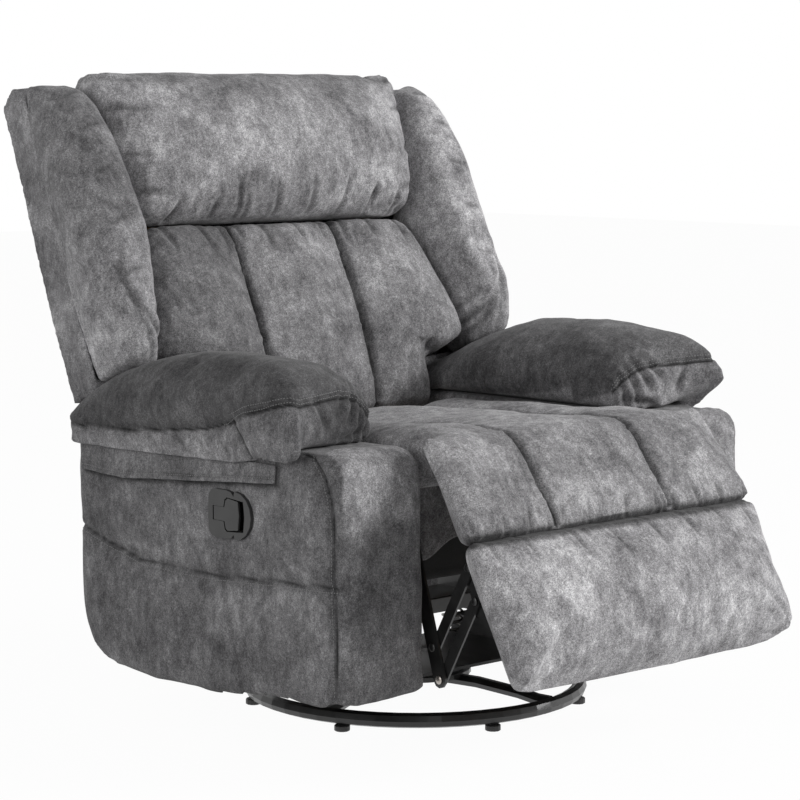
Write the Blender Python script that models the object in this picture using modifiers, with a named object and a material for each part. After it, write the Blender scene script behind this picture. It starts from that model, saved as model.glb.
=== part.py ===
"""Swivel rocker recliner: ring base, rocking chassis, link-driven footrest and a reclining winged back.

Metres, +Z up. The chair faces -Y and the sitter's right hand is at -X. Lengths along Y are written from the
middle of the arms; the root empty carries the whole chair so that its box is centred over the origin.
"""
import bpy
import bmesh
from math import atan2, cos, hypot, pi, radians, sin, tan
from mathutils import Vector

# Whole object
FRAME_SHIFT = -0.00425          # root empty along Y, centres the box of the chair over the origin
GAP = 0.0003                    # clearance between pieces that touch
SIDES = (("right", -1), ("left", 1))

# Widths that follow the seat frame: steel lanes beside it, then the arms
FRAME_HALF = 0.245              # half width of the seat frame
LANE = 0.004                    # thickness of a lane of flat steel
BRACKET_LANE_OFF = 0.007        # each lane's inner face, out from the seat frame
SWING_LANE_OFF = 0.008
FOOT_LANE_OFF = 0.0132
SEAT_LANE_OFF = 0.0192
PLATE_LANE_OFF = 0.0255
LANE_BRACKET = (FRAME_HALF + BRACKET_LANE_OFF, FRAME_HALF + BRACKET_LANE_OFF + LANE)
LANE_SWING = (FRAME_HALF + SWING_LANE_OFF, FRAME_HALF + SWING_LANE_OFF + LANE)
LANE_FOOT_LINK = (FRAME_HALF + FOOT_LANE_OFF, FRAME_HALF + FOOT_LANE_OFF + LANE)
LANE_SEAT_LINK = (FRAME_HALF + SEAT_LANE_OFF, FRAME_HALF + SEAT_LANE_OFF + LANE)
LANE_PLATE = (FRAME_HALF + PLATE_LANE_OFF, FRAME_HALF + PLATE_LANE_OFF + LANE)
ARM_TO_PLATE = 0.0095           # room between the seat's steel side and the arm
PAD_OVER_SEAT = 0.012           # how far a pad stands in over the seat
SEAT_TO_ARM = 0.007
RAIL_INSET = 0.002
POST_WIDTH = 0.020
POST_OVER_FRAME = 0.0080
BACK_OVER_FRAME = 0.017

# Ring base
SWIVEL_Y = 0.008                # swivel axis behind the middle of the arms
GLIDE_HEIGHT = 0.010
GLIDE_RADIUS = 0.013
GLIDE_COUNT = 7
GLIDE_ANGLE = 47.9
RING_RADIUS = 0.279
RING_TUBE = 0.0125
RING_Z = GLIDE_HEIGHT + GAP + RING_TUBE
SPIDER_ARMS = 4
SPIDER_ANGLE = -76.0
SPIDER_TUBE = 0.010
HUB_RADIUS = 0.095
HUB_THICKNESS = 0.008
HUB_TOP = 0.050
PIN_RADIUS = 0.0125
PIN_CLEARANCE = 0.0006

# Swivel top with its rocker rails
BEARING_OUTER = 0.085
BEARING_INNER = 0.030
BEARING_HEIGHT = 0.0145
PLATE_BOTTOM = HUB_TOP + GAP + BEARING_HEIGHT + GAP
PLATE_THICKNESS = 0.005
PLATE_TOP = PLATE_BOTTOM + PLATE_THICKNESS
PLATE_HALF_X = 0.235
PLATE_HALF_Y = 0.120
ROCK_LINE_Z = 0.100             # line on which the chassis rocks
ROCKER_RAIL_WIDTH = 0.040
ROCKER_RAIL_HALF_Y = 0.115
ROCK_STOP = 8.5                 # slope of the cam flanks, just past the largest rocking angle

# Rocker springs
SPRING_X = 0.165
SPRING_Y = 0.080
SPRING_COIL = 0.0175
SPRING_WIRE = 0.0025
SPRING_TURNS = 4
SPRING_POINTS = 8

# Mechanism rails and cross tubes of the chassis
RAIL_FLANGE_Z = 0.130
RAIL_GAUGE = 0.004
RAIL_WEB_TOP = 0.185
RAIL_OUTER = FRAME_HALF - RAIL_INSET
RAIL_FLANGE_INNER = 0.140
RAIL_FRONT = -0.185
RAIL_REAR = 0.205
CAM_THICKNESS = 0.030
CAM_HALF_Y = 0.110
CROSS_TUBE = 0.025
CROSS_FRONT_Y = -0.165
CROSS_REAR_Y = 0.192

# Arms
ARM_INNER = LANE_PLATE[1] + ARM_TO_PLATE
ARM_OUTER = 0.455
ARM_TOP = 0.480
ARM_FRONT = -0.324
ARM_REAR = 0.342
ARM_WALL = 0.010
ARM_EDGE = 0.012
ARM_FRONT_BOTTOM = 0.118
ARM_MID_BOTTOM = 0.088
ARM_FRONT_LEAN = 0.012
ARM_TOP_RADIUS = 0.038
ARM_HEEL = 0.132
BOARD = 0.018

# Arm pads and the flaps below them
PAD_INNER = ARM_INNER - PAD_OVER_SEAT
PAD_OUTER = 0.478
PAD_FRONT = -0.226
PAD_REAR = 0.366
PAD_CORNER_OUTER = -0.034       # how far the front corners draw back
PAD_CORNER_INNER = 0.034
PAD_DROOP = 0.026
PAD_LIFT = 0.003                # holds the lower face clear of the arm where it starts to droop
FLAP_THICKNESS = 0.004
FLAP_TOP = 0.458
FLAP_FRONT = -0.180
FLAP_REAR = 0.315
FLAP_FRONT_Z = 0.433
FLAP_REAR_Z = 0.407

# Release handle on the right arm
HANDLE_Y = -0.0650
HANDLE_Z = 0.368
BEZEL_LENGTH = 0.104
BEZEL_HEIGHT = 0.076
BEZEL_LIP = 0.006
BEZEL_RIM = 0.011
CUP_DEPTH = 0.030
CUP_WALL = 0.003
PADDLE_THICKNESS = 0.005
PADDLE_PLATE = 0.033
PADDLE_STEM = 0.024
PADDLE_STEM_HEIGHT = 0.022
FINGER_GAP = 0.014
STEM_CLEARANCE = 0.0015
PADDLE_CLEARANCE = 0.0012

# Flat steel linkage
RIVET = 0.006
RIVET_CLEARANCE = 0.0003
RIVET_PROUD = 0.0015
LINK_HALF_WIDTH = 0.013
FOOT_LINK_HALF_WIDTH = 0.0090

# Swing links that let the seat glide forward as the back reclines
SWING_LENGTH = 0.110
SWING_LEAN = 7.875
SWING_FOOT_Z = 0.160
SWING_FRONT_Y = -0.085
SWING_REAR_Y = 0.135

# Seat
SEAT_HALF = ARM_INNER - SEAT_TO_ARM
SEAT_SEAM = 0.128
SEAT_REAR = 0.180
SEAT_NOSE = -0.319
SEAT_UNDERCUT = 0.026
SEAT_REAR_TOP = 0.462
SEAT_FRONT_TOP = 0.488
SEAT_CROWN = 0.020
SEAT_DRAW = 0.005
FRAME_TOP = 0.400
FRAME_DEPTH = 0.055
FRAME_FRONT = -0.265
FRAME_REAR = 0.178
FRAME_RAIL = 0.032
FRAME_BLOCK = (-0.050, 0.120)
FRONT_BOARD_BOTTOM = 0.265
SEAT_WIRE = 0.002
SEAT_WIRE_SWING = 0.024
SEAT_WIRE_BENDS = 7
SEAT_WIRE_SPREAD = FRAME_HALF / 0.729   # from half a pitch outside the first wire to the last
SEAT_WIRES = tuple(SEAT_WIRE_SPREAD * share for share in (-0.5, -1 / 6, 1 / 6, 0.5))

# Footrest, hung about a pole at the front of the seat
POLE = (-0.330, 0.500)
CHAISE_LENGTH = 0.190
CHAISE_ANGLE = 42.7
CHAISE_TOP_EDGE = 0.012
SHIN_LENGTH = 0.236
SHIN_ANGLE = 25.5
FOOT_HALF = 0.326
FOOT_SIDE_DRAW = 0.030          # how far the sides are drawn in at the rear
FOOT_SEAM = 0.132
FOOT_THICKNESS = 0.055
FOOT_CROWN = 0.020
FOOT_BOARD = 0.012
FOOT_BOARD_LENGTH = 0.195
KNEE = (-0.334, 0.123)
FOOT_PIVOT = (-0.4056, 0.255)
LINK_PITCH = 0.051

# Back
BACK_PIVOT = (0.265, 0.340)
BACK_ORIGIN = (0.227, 0.474)
BACK_TILT = 22.2
BACK_REAR = -0.116
BACK_FACE = -0.050
BACK_WALL = 0.008
BACK_FOOT = -0.075
BACK_NARROW = FRAME_HALF + BACK_OVER_FRAME
BACK_TOP = 0.632                # top of the rear panel
BACK_ROLL = 0.024               # how far the top edge of the rear panel rolls forward
BACK_SIDE_FOOT = 0.092          # where the rear panel widens above the arm pads
WING_FOOT = 0.102
WING_TOP = 0.618
WING_OUTER = 0.442
WING_PROUD = 0.086
WING_BULGE = 0.006
HEAD_SEAM = 0.353
HEAD_TOP = 0.624
HEAD_PROUD = 0.082
CHANNEL_SEAM = 0.117
CHANNEL_FOOT = -0.020
CHANNEL_CROWN = 0.040
INNER_EDGE = ((0.102, 0.361), (0.170, 0.352), (0.240, 0.333), (0.310, 0.3125), (0.353, 0.304), (0.480, 0.330),
              (0.640, 0.356))
EDGE_RISE = ((0.102, 0.029), (0.170, 0.028), (0.240, 0.023), (0.310, 0.012), (0.345, 0.002))
POST_OUTER = FRAME_HALF + POST_OVER_FRAME
POST_INNER = POST_OUTER - POST_WIDTH
POST_DEPTH = 0.036
SLAT_HEIGHT = 0.040
SLAT_COUNT = 5
SLAT_TOP = 0.575
BACK_PIN = 0.008

# Points that follow from the sizes above
CHAISE_DIR = Vector((-sin(radians(CHAISE_ANGLE)), -cos(radians(CHAISE_ANGLE))))
CHAISE_OUT = Vector((-cos(radians(CHAISE_ANGLE)), sin(radians(CHAISE_ANGLE))))
SHIN_DIR = Vector((-sin(radians(SHIN_ANGLE)), -cos(radians(SHIN_ANGLE))))
SHIN_OUT = Vector((-cos(radians(SHIN_ANGLE)), sin(radians(SHIN_ANGLE))))
FOOT_SEAM_POINT = Vector(POLE) + CHAISE_DIR * CHAISE_LENGTH
SEAT_LINK_PIVOT = Vector(KNEE) - (Vector(FOOT_PIVOT) - Vector(POLE))
LINK_UP = (SEAT_LINK_PIVOT - Vector(KNEE)).normalized()
KNEE_REAR = Vector(KNEE) + LINK_UP * LINK_PITCH
FOOT_PIVOT_REAR = Vector(FOOT_PIVOT) + LINK_UP * LINK_PITCH
SWING_STEP = Vector((sin(radians(SWING_LEAN)), cos(radians(SWING_LEAN)))) * SWING_LENGTH
SWING_FRONT = Vector((SWING_FRONT_Y, SWING_FOOT_Z))
SWING_REAR = Vector((SWING_REAR_Y, SWING_FOOT_Z))
PADDLE_AXIS_Y = HANDLE_Y + BEZEL_LENGTH / 2 - BEZEL_RIM - STEM_CLEARANCE - 0.002
HANDLE_FACE = -(ARM_OUTER + GAP + BEZEL_LIP)
PADDLE_AXIS_X = HANDLE_FACE + PADDLE_THICKNESS / 2 + GAP

BODIES = {
    "base": (None, (0, 0, 0)),
    "swivel_top": ("base", (0, SWIVEL_Y, PLATE_BOTTOM)),
    "chassis": ("swivel_top", (0, SWIVEL_Y, ROCK_LINE_Z)),
    "paddle": ("chassis", (PADDLE_AXIS_X, PADDLE_AXIS_Y, HANDLE_Z)),
    "front_swing": ("chassis", (0, SWING_FRONT.x, SWING_FRONT.y)),
    "rear_swing": ("chassis", (0, SWING_REAR.x, SWING_REAR.y)),
    "seat": ("front_swing", (0, SWING_FRONT.x + SWING_STEP.x, SWING_FRONT.y + SWING_STEP.y)),
    "back": ("seat", (0, BACK_PIVOT[0], BACK_PIVOT[1])),
    "footrest": ("seat", (0, POLE[0], POLE[1])),
    "seat_link": ("seat", (0, SEAT_LINK_PIVOT.x, SEAT_LINK_PIVOT.y)),
    "front_foot_link": ("seat_link", (0, KNEE[0], KNEE[1])),
    "rear_foot_link": ("seat_link", (0, KNEE_REAR.x, KNEE_REAR.y)),
}


def clear_scene():
    for item in list(bpy.data.objects):
        bpy.data.objects.remove(item, do_unlink=True)


def collection(name):
    group = bpy.data.collections.new(name)
    bpy.context.scene.collection.children.link(group)
    return group


def finish(name, colour, roughness, metallic=0.0):
    material = bpy.data.materials.new(name)
    material.use_nodes = True
    shader = material.node_tree.nodes["Principled BSDF"]
    shader.inputs["Base Color"].default_value = (*colour, 1.0)
    shader.inputs["Roughness"].default_value = roughness
    shader.inputs["Metallic"].default_value = metallic
    return material


clear_scene()
PARTS = collection("swivel_rocker_recliner")
CUTTERS = collection("cutters")
SUEDE = finish("grey_suede", (0.20, 0.20, 0.21), 0.85)
STEEL = finish("black_steel", (0.015, 0.015, 0.017), 0.35, 0.6)
SPRING_STEEL = finish("spring_steel", (0.30, 0.30, 0.31), 0.30, 1.0)
PLASTIC = finish("dark_plastic", (0.045, 0.046, 0.048), 0.45)
TIMBER = finish("pine", (0.55, 0.40, 0.24), 0.70)
EMPTIES = {}


def make_bodies():
    for name, (parent, point) in BODIES.items():
        empty = bpy.data.objects.new(name + "_axis", None)
        PARTS.objects.link(empty)
        if parent is None:
            empty.location = (0, FRAME_SHIFT, 0)
        else:
            empty.parent = EMPTIES[parent]
            empty.location = Vector(point) - Vector(BODIES[parent][1])
        EMPTIES[name] = empty


def carry(item, body, group=PARTS):
    """Hang an object, modelled about the middle of the arms, on the empty of its body."""
    group.objects.link(item)
    item.parent = EMPTIES[body]
    item.location = -Vector(BODIES[body][1])
    return item


def from_bmesh(name, bm, body, material, group=PARTS):
    bmesh.ops.recalc_face_normals(bm, faces=bm.faces)
    if bm.calc_volume(signed=True) < 0:
        bmesh.ops.reverse_faces(bm, faces=bm.faces)
    mesh = bpy.data.meshes.new(name)
    bm.to_mesh(mesh)
    bm.free()
    mesh.materials.append(material)
    mesh.shade_smooth()
    mesh.set_sharp_from_angle(angle=radians(35))
    return carry(bpy.data.objects.new(name, mesh), body, group)


def tool(name, bm, body):
    """A shape used only to cut or extend another piece."""
    item = from_bmesh(name, bm, body, STEEL, CUTTERS)
    item.hide_render = True
    item.display_type = 'WIRE'
    return item


def combine(item, shape, operation):
    change = item.modifiers.new(shape.name, 'BOOLEAN')
    change.operation = operation
    change.object = shape
    change.solver = 'EXACT'


def bevel(item, width, segments=2):
    change = item.modifiers.new("edges", 'BEVEL')
    change.width = width
    change.segments = segments
    change.limit_method = 'ANGLE'
    change.angle_limit = radians(40)
    change.use_clamp_overlap = False


def box_mesh(low, high):
    bm = bmesh.new()
    bmesh.ops.create_cube(bm, size=1)
    low, high = Vector(low), Vector(high)
    for vert in bm.verts:
        vert.co = Vector([low[i] + (vert.co[i] + 0.5) * (high[i] - low[i]) for i in range(3)])
    return bm


def box(name, low, high, body, material, edge=0.0):
    item = from_bmesh(name, box_mesh(low, high), body, material)
    if edge:
        bevel(item, edge)
    return item


def rod_mesh(point, x_low, x_high, radius, segments=12):
    """A round pin along X through a point of the side view."""
    bm = bmesh.new()
    bmesh.ops.create_cone(bm, cap_ends=True, segments=segments, radius1=radius, radius2=radius, depth=1)
    middle, length = (x_low + x_high) / 2, abs(x_high - x_low)
    for vert in bm.verts:
        vert.co = Vector((middle + vert.co.z * length, point[0] + vert.co.x, point[1] + vert.co.y))
    return bm


def upright_mesh(x, y, z_low, z_high, radius, segments=16):
    bm = bmesh.new()
    bmesh.ops.create_cone(bm, cap_ends=True, segments=segments, radius1=radius, radius2=radius, depth=1)
    for vert in bm.verts:
        vert.co = Vector((x + vert.co.x, y + vert.co.y, z_low + (vert.co.z + 0.5) * (z_high - z_low)))
    return bm


def circle(centre, radius, count=12):
    turns = [2 * pi * i / count for i in range(count)]
    return [(centre[0] + radius * cos(a), centre[1] + radius * sin(a)) for a in turns]


def stadium(start, end, radius, steps=5):
    """Outline of a flat link with round ends."""
    heading = atan2(end[1] - start[1], end[0] - start[0])
    outline = []
    for centre, offset in ((end, -pi / 2), (start, pi / 2)):
        for i in range(steps + 1):
            a = heading + offset + pi * i / steps
            outline.append((centre[0] + radius * cos(a), centre[1] + radius * sin(a)))
    return outline


def rounded(points, radius, steps=3):
    """A polygon with each corner drawn as a short curve."""
    outline = []
    count = len(points)
    for i in range(count):
        corner = Vector(points[i])
        before = Vector(points[i - 1]) - corner
        after = Vector(points[(i + 1) % count]) - corner
        reach = min(radius, before.length * 0.45, after.length * 0.45)
        start = corner + before.normalized() * reach
        end = corner + after.normalized() * reach
        for j in range(steps + 1):
            t = j / steps
            outline.append(tuple(start * (1 - t) ** 2 + corner * 2 * t * (1 - t) + end * t ** 2))
    return outline


def flat_mesh(outlines, thickness, place):
    """A flat outline with holes, filled and extruded, then moved by place(a, b, depth)."""
    curve = bpy.data.curves.new("outline", 'CURVE')
    curve.dimensions = '2D'
    curve.fill_mode = 'BOTH'
    curve.extrude = thickness / 2
    for outline in outlines:
        spline = curve.splines.new('POLY')
        spline.points.add(len(outline) - 1)
        for point, (a, b) in zip(spline.points, outline):
            point.co = (a, b, 0, 1)
        spline.use_cyclic_u = True
    bm = bmesh_of_curve(curve)
    for vert in bm.verts:
        vert.co = place(*vert.co)
    return bm


def bmesh_of_curve(curve):
    item = bpy.data.objects.new("outline", curve)
    CUTTERS.objects.link(item)
    graph = bpy.context.evaluated_depsgraph_get()
    mesh = bpy.data.meshes.new_from_object(item.evaluated_get(graph))
    bm = bmesh.new()
    bm.from_mesh(mesh)
    bmesh.ops.remove_doubles(bm, verts=bm.verts, dist=1e-6)
    bpy.data.objects.remove(item)
    bpy.data.curves.remove(curve)
    bpy.data.meshes.remove(mesh)
    return bm


def side_plate_mesh(outlines, x_low, x_high):
    """A plate that lies in the side view, between two distances from the middle of the chair."""
    middle = (x_low + x_high) / 2
    return flat_mesh(outlines, abs(x_high - x_low), lambda a, b, d: Vector((middle + d, a, b)))


def tube(name, points, radius, body, material, resolution=2):
    item = carry(bpy.data.objects.new(name, tube_curve(name, points, radius, resolution)), body)
    item.data.materials.append(material)
    return item


def tube_curve(name, points, radius, resolution):
    curve = bpy.data.curves.new(name, 'CURVE')
    curve.dimensions = '3D'
    curve.bevel_depth = radius
    curve.bevel_resolution = resolution
    curve.use_fill_caps = True
    spline = curve.splines.new('POLY')
    spline.points.add(len(points) - 1)
    for point, place in zip(spline.points, points):
        point.co = (*place, 1)
    return curve


def least_gap(points, wire, neighbours):
    """Smallest clear distance of a wound wire to its own other turns, measured on its points."""
    gaps = []
    for i in range(len(points)):
        for j in range(i + neighbours, len(points)):
            gaps.append((Vector(points[i]) - Vector(points[j])).length)
    return min(gaps) - 2 * wire


def lattice(cuts):
    """A cube from -1 to 1, cut into a grid of its own count along each axis."""
    bm = bmesh.new()
    bmesh.ops.create_cube(bm, size=2)
    for axis, count in enumerate(cuts):
        edges = [e for e in bm.edges if abs(e.verts[0].co[axis] - e.verts[1].co[axis]) > 1]
        bmesh.ops.subdivide_edges(bm, edges=edges, cuts=count - 1, use_grid_fill=True)
    return bm


def crease_back(bm):
    """Keep the edge round the back of a cage sharp, where the form is sewn down."""
    crease = bm.edges.layers.float.new("crease_edge")
    for edge in bm.edges:
        a, b = [vert.co for vert in edge.verts]
        on_side = abs(a.x + b.x) > 1.999 or abs(a.y + b.y) > 1.999
        if a.z + b.z < -1.999 and on_side:
            edge[crease] = 1.0


def soft(name, cuts, place, body, sewn=False):
    """A stuffed form: a coarse cage placed by a shape function and subdivided."""
    bm = lattice(cuts)
    if sewn:
        crease_back(bm)
    for vert in bm.verts:
        vert.co = place(*vert.co)
    item = from_bmesh(name, bm, body, SUEDE)
    item.data.shade_smooth()
    change = item.modifiers.new("stuffing", 'SUBSURF')
    change.levels = 1
    change.render_levels = 1
    return item


def mix(a, b, t):
    return a + (b - a) * t


def profile(pairs, at):
    """Straight-line value between the points of a profile."""
    if at <= pairs[0][0]:
        return pairs[0][1]
    for (p, a), (q, b) in zip(pairs, pairs[1:]):
        if at <= q:
            return mix(a, b, (at - p) / (q - p))
    return pairs[-1][1]


def knot(values, t):
    """Place t from -1 to 1 over values that are evenly spread along the cage."""
    along = (t + 1) / 2 * (len(values) - 1)
    index = min(int(along + 1e-6), len(values) - 2)
    return mix(values[index], values[index + 1], along - index)


def crown(edges, x):
    """Height of the stuffing between two seams, 0 on a seam and 1 midway."""
    for a, b in zip(edges, edges[1:]):
        if a <= x <= b:
            t = (x - a) / (b - a)
            return max(0.0, 4 * t * (1 - t)) ** 0.7
    return 0.0


def ring_base():
    bpy.ops.mesh.primitive_torus_add(major_radius=RING_RADIUS, minor_radius=RING_TUBE,
                                     major_segments=52, minor_segments=8)
    ring = bpy.context.object
    for group in list(ring.users_collection):
        group.objects.unlink(ring)
    ring.name = "base_ring"
    for vert in ring.data.vertices:
        vert.co += Vector((0, SWIVEL_Y, RING_Z))
    ring.data.materials.append(STEEL)
    ring.data.shade_smooth()
    carry(ring, "base")
    for i in range(GLIDE_COUNT):
        a = radians(GLIDE_ANGLE + 360 / GLIDE_COUNT * i)
        floor_glide("floor_glide_%d" % (i + 1), RING_RADIUS * cos(a), SWIVEL_Y + RING_RADIUS * sin(a))


def floor_glide(name, x, y):
    """A plastic button under the ring, dished on top to seat the tube."""
    glide = from_bmesh(name, upright_mesh(x, y, 0, GLIDE_HEIGHT, GLIDE_RADIUS, 12), "base", PLASTIC)
    bevel(glide, 0.0015, 1)


def spider_base():
    disc = upright_mesh(0, SWIVEL_Y, HUB_TOP - HUB_THICKNESS, HUB_TOP, HUB_RADIUS, 24)
    hub = from_bmesh("base_spider", disc, "base", STEEL)
    end = RING_RADIUS - RING_TUBE - 2 * GAP
    root = HUB_TOP - SPIDER_TUBE - 2 * GAP
    for i in range(SPIDER_ARMS):
        a = radians(SPIDER_ANGLE + 360 / SPIDER_ARMS * i)
        heights = ((HUB_RADIUS * 0.6, root), (HUB_RADIUS + 0.03, root - 0.001),
                   (mix(HUB_RADIUS, end, 0.65), mix(RING_Z, root, 0.45)),
                   (end - 0.025, RING_Z + 0.001), (end, RING_Z))
        points = [(r * cos(a), SWIVEL_Y + r * sin(a), z) for r, z in heights]
        arm = bmesh_of_curve(tube_curve("arm", points, SPIDER_TUBE, 1))
        combine(hub, tool("spider_arm_%d" % (i + 1), arm, "base"), 'UNION')
    pin = upright_mesh(0, SWIVEL_Y, HUB_TOP - HUB_THICKNESS / 2, PLATE_TOP, PIN_RADIUS)
    combine(hub, tool("king_pin", pin, "base"), 'UNION')


def swivel_bearing():
    """A turned bearing ring with a groove round its rim, made from its profile."""
    low = HUB_TOP + GAP
    high = low + BEARING_HEIGHT
    middle = (low + high) / 2
    outline = [(BEARING_INNER, high), (BEARING_OUTER, high), (BEARING_OUTER, middle + 0.002),
               (BEARING_OUTER - 0.004, middle), (BEARING_OUTER, middle - 0.002),
               (BEARING_OUTER, low), (BEARING_INNER, low)]
    bm = bmesh.new()
    verts = [bm.verts.new((r, 0, z)) for r, z in outline]
    for a, b in zip(verts, verts[1:] + verts[:1]):
        bm.edges.new((a, b))
    ring = from_bmesh("swivel_bearing", bm, "swivel_top", SPRING_STEEL)
    turn = ring.modifiers.new("turned", 'SCREW')
    turn.steps = 24
    turn.render_steps = 24
    turn.use_merge_vertices = True
    turn.merge_threshold = 0.0001
    ring.location.y += SWIVEL_Y


def swivel_plate():
    corner = [(-PLATE_HALF_X, -PLATE_HALF_Y), (PLATE_HALF_X, -PLATE_HALF_Y),
              (PLATE_HALF_X, PLATE_HALF_Y), (-PLATE_HALF_X, PLATE_HALF_Y)]
    middle = (PLATE_BOTTOM + PLATE_TOP) / 2
    hole = circle((0, 0), PIN_RADIUS + PIN_CLEARANCE, 24)
    plate = from_bmesh("swivel_plate", flat_mesh([rounded(corner, 0.03), hole], PLATE_THICKNESS,
                       lambda a, b, d: Vector((a, SWIVEL_Y + b, middle + d))), "swivel_top", STEEL)
    for name, side in SIDES:
        outer, inner = side * PLATE_HALF_X, side * (PLATE_HALF_X - ROCKER_RAIL_WIDTH)
        rail = tool("rocker_rail_" + name, box_mesh(
            (min(outer, inner), SWIVEL_Y - ROCKER_RAIL_HALF_Y, middle),
            (max(outer, inner), SWIVEL_Y + ROCKER_RAIL_HALF_Y, ROCK_LINE_Z - GAP)), "swivel_top")
        combine(plate, rail, 'UNION')


def rocker_spring(name, x, y):
    low = PLATE_TOP + GAP + SPRING_WIRE
    high = RAIL_FLANGE_Z - GAP - SPRING_WIRE
    count = SPRING_TURNS * SPRING_POINTS
    points = []
    for i in range(count + 1):
        a = 2 * pi * i / SPRING_POINTS
        points.append((x + SPRING_COIL * cos(a), y + SPRING_COIL * sin(a), mix(low, high, i / count)))
    tube(name, points, SPRING_WIRE, "swivel_top", SPRING_STEEL, 1)
    return least_gap(points, SPRING_WIRE, SPRING_POINTS - 1)


def rocker_springs():
    gaps = []
    for name, side in SIDES:
        for end, y in (("front", SWIVEL_Y - SPRING_Y), ("rear", SWIVEL_Y + SPRING_Y)):
            gaps.append(rocker_spring("rocker_spring_%s_%s" % (end, name), side * SPRING_X, y))
    print("least gap in the rocker springs: %.2f mm" % (min(gaps) * 1000))


def rocker_cam(name, side):
    """A rocker block: its flanks rise from the rocking line at the stop angle."""
    rise = CAM_HALF_Y * tan(radians(ROCK_STOP))
    top = RAIL_FLANGE_Z - GAP
    front, rear = SWIVEL_Y - CAM_HALF_Y, SWIVEL_Y + CAM_HALF_Y
    outline = [(front, top), (front, ROCK_LINE_Z + rise), (SWIVEL_Y, ROCK_LINE_Z),
               (rear, ROCK_LINE_Z + rise), (rear, top)]
    outer = PLATE_HALF_X - (ROCKER_RAIL_WIDTH - CAM_THICKNESS) / 2
    span = (side * outer, side * (outer - CAM_THICKNESS))
    from_bmesh("rocker_cam_" + name, side_plate_mesh([outline], *span), "chassis", TIMBER)


def mechanism_rail(name, side):
    """An angle rail: a flange over the springs and an upright web with the swing link pins."""
    outline = [(RAIL_FLANGE_INNER, RAIL_FLANGE_Z), (RAIL_OUTER, RAIL_FLANGE_Z), (RAIL_OUTER, RAIL_WEB_TOP),
               (RAIL_OUTER - RAIL_GAUGE, RAIL_WEB_TOP), (RAIL_OUTER - RAIL_GAUGE, RAIL_FLANGE_Z + RAIL_GAUGE),
               (RAIL_FLANGE_INNER, RAIL_FLANGE_Z + RAIL_GAUGE)]
    middle = (RAIL_FRONT + RAIL_REAR) / 2
    rail = from_bmesh("mechanism_rail_" + name, flat_mesh([outline], RAIL_REAR - RAIL_FRONT,
                      lambda a, b, d: Vector((side * a, middle + d, b))), "chassis", STEEL)
    for end, foot in (("front", SWING_FRONT), ("rear", SWING_REAR)):
        root = side * (RAIL_OUTER - RAIL_GAUGE / 2)
        pin = rod_mesh(foot, root, side * (LANE_SWING[1] + RIVET_PROUD), RIVET)
        combine(rail, tool("swing_foot_%s_%s" % (end, name), pin, "chassis"), 'UNION')


def cross_tubes():
    """Square tubes across the rails, from arm to arm."""
    reach = ARM_INNER - GAP
    low = RAIL_WEB_TOP + GAP
    for name, y in (("front_cross_tube", CROSS_FRONT_Y), ("rear_cross_tube", CROSS_REAR_Y)):
        box(name, (-reach, y - CROSS_TUBE / 2, low), (reach, y + CROSS_TUBE / 2, low + CROSS_TUBE),
            "chassis", STEEL, 0.002)


def arm_outline():
    """Side view of an arm: upright front, flat top, round heel and a gently bowed lower edge."""
    bottom = [(ARM_REAR - ARM_HEEL, ARM_MID_BOTTOM + 0.003), (0.10, ARM_MID_BOTTOM),
              (-0.01, ARM_MID_BOTTOM + 0.003), (mix(ARM_FRONT, 0, 0.4), ARM_FRONT_BOTTOM - 0.008)]
    front_top = (ARM_FRONT + ARM_FRONT_LEAN, ARM_TOP)
    top = [(front_top[0] + ARM_TOP_RADIUS, ARM_TOP), (ARM_REAR, ARM_TOP)]
    heel = []
    for i in range(6):
        a = pi / 2 * i / 5
        rise = ARM_HEEL * (1 - sin(a)) + 0.004
        heel.append((ARM_REAR - ARM_HEEL * 0.75 * (1 - cos(a)), ARM_MID_BOTTOM + rise))
    nose = []
    for i in range(5):
        a = pi / 2 * i / 4
        drop = ARM_TOP_RADIUS * (1 - sin(a))
        nose.append((front_top[0] + ARM_TOP_RADIUS * (1 - cos(a)), ARM_TOP - drop))
    return nose[:-1] + top + heel, bottom + [(ARM_FRONT, ARM_FRONT_BOTTOM)]


def arm_cover(name, side):
    """The upholstered arm: a shell that is open below."""
    walls, lower = arm_outline()
    outline = walls + lower
    bm = bmesh.new()
    faces = []
    for x in (side * ARM_INNER, side * ARM_OUTER):
        verts = [bm.verts.new((x, y, z)) for y, z in outline]
        bm.faces.new(verts)
        faces.append(verts)
    count = len(outline)
    for i in range(count):
        is_open = len(walls) - 1 <= i < count - 1
        if not is_open:
            j = (i + 1) % count
            bm.faces.new((faces[0][i], faces[0][j], faces[1][j], faces[1][i]))
    cover = from_bmesh("arm_cover_" + name, bm, "chassis", SUEDE)
    bevel(cover, ARM_EDGE)
    wall = cover.modifiers.new("wall", 'SOLIDIFY')
    wall.thickness = ARM_WALL
    wall.offset = -1
    return cover


def arm_frame(name, side):
    """The board inside the arm that the cross tubes are bolted to."""
    inner = ARM_INNER + ARM_WALL + GAP
    high = ARM_TOP - 0.06
    walls = [(ARM_FRONT + 0.035, 0.17), (ARM_FRONT + 0.035, high), (ARM_REAR - 0.03, high),
             (ARM_REAR - 0.03, 0.27), (ARM_REAR - 0.11, 0.17)]
    span = (side * inner, side * (inner + BOARD))
    from_bmesh("arm_frame_" + name, side_plate_mesh([rounded(walls, 0.02)], *span), "chassis", TIMBER)


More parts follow.
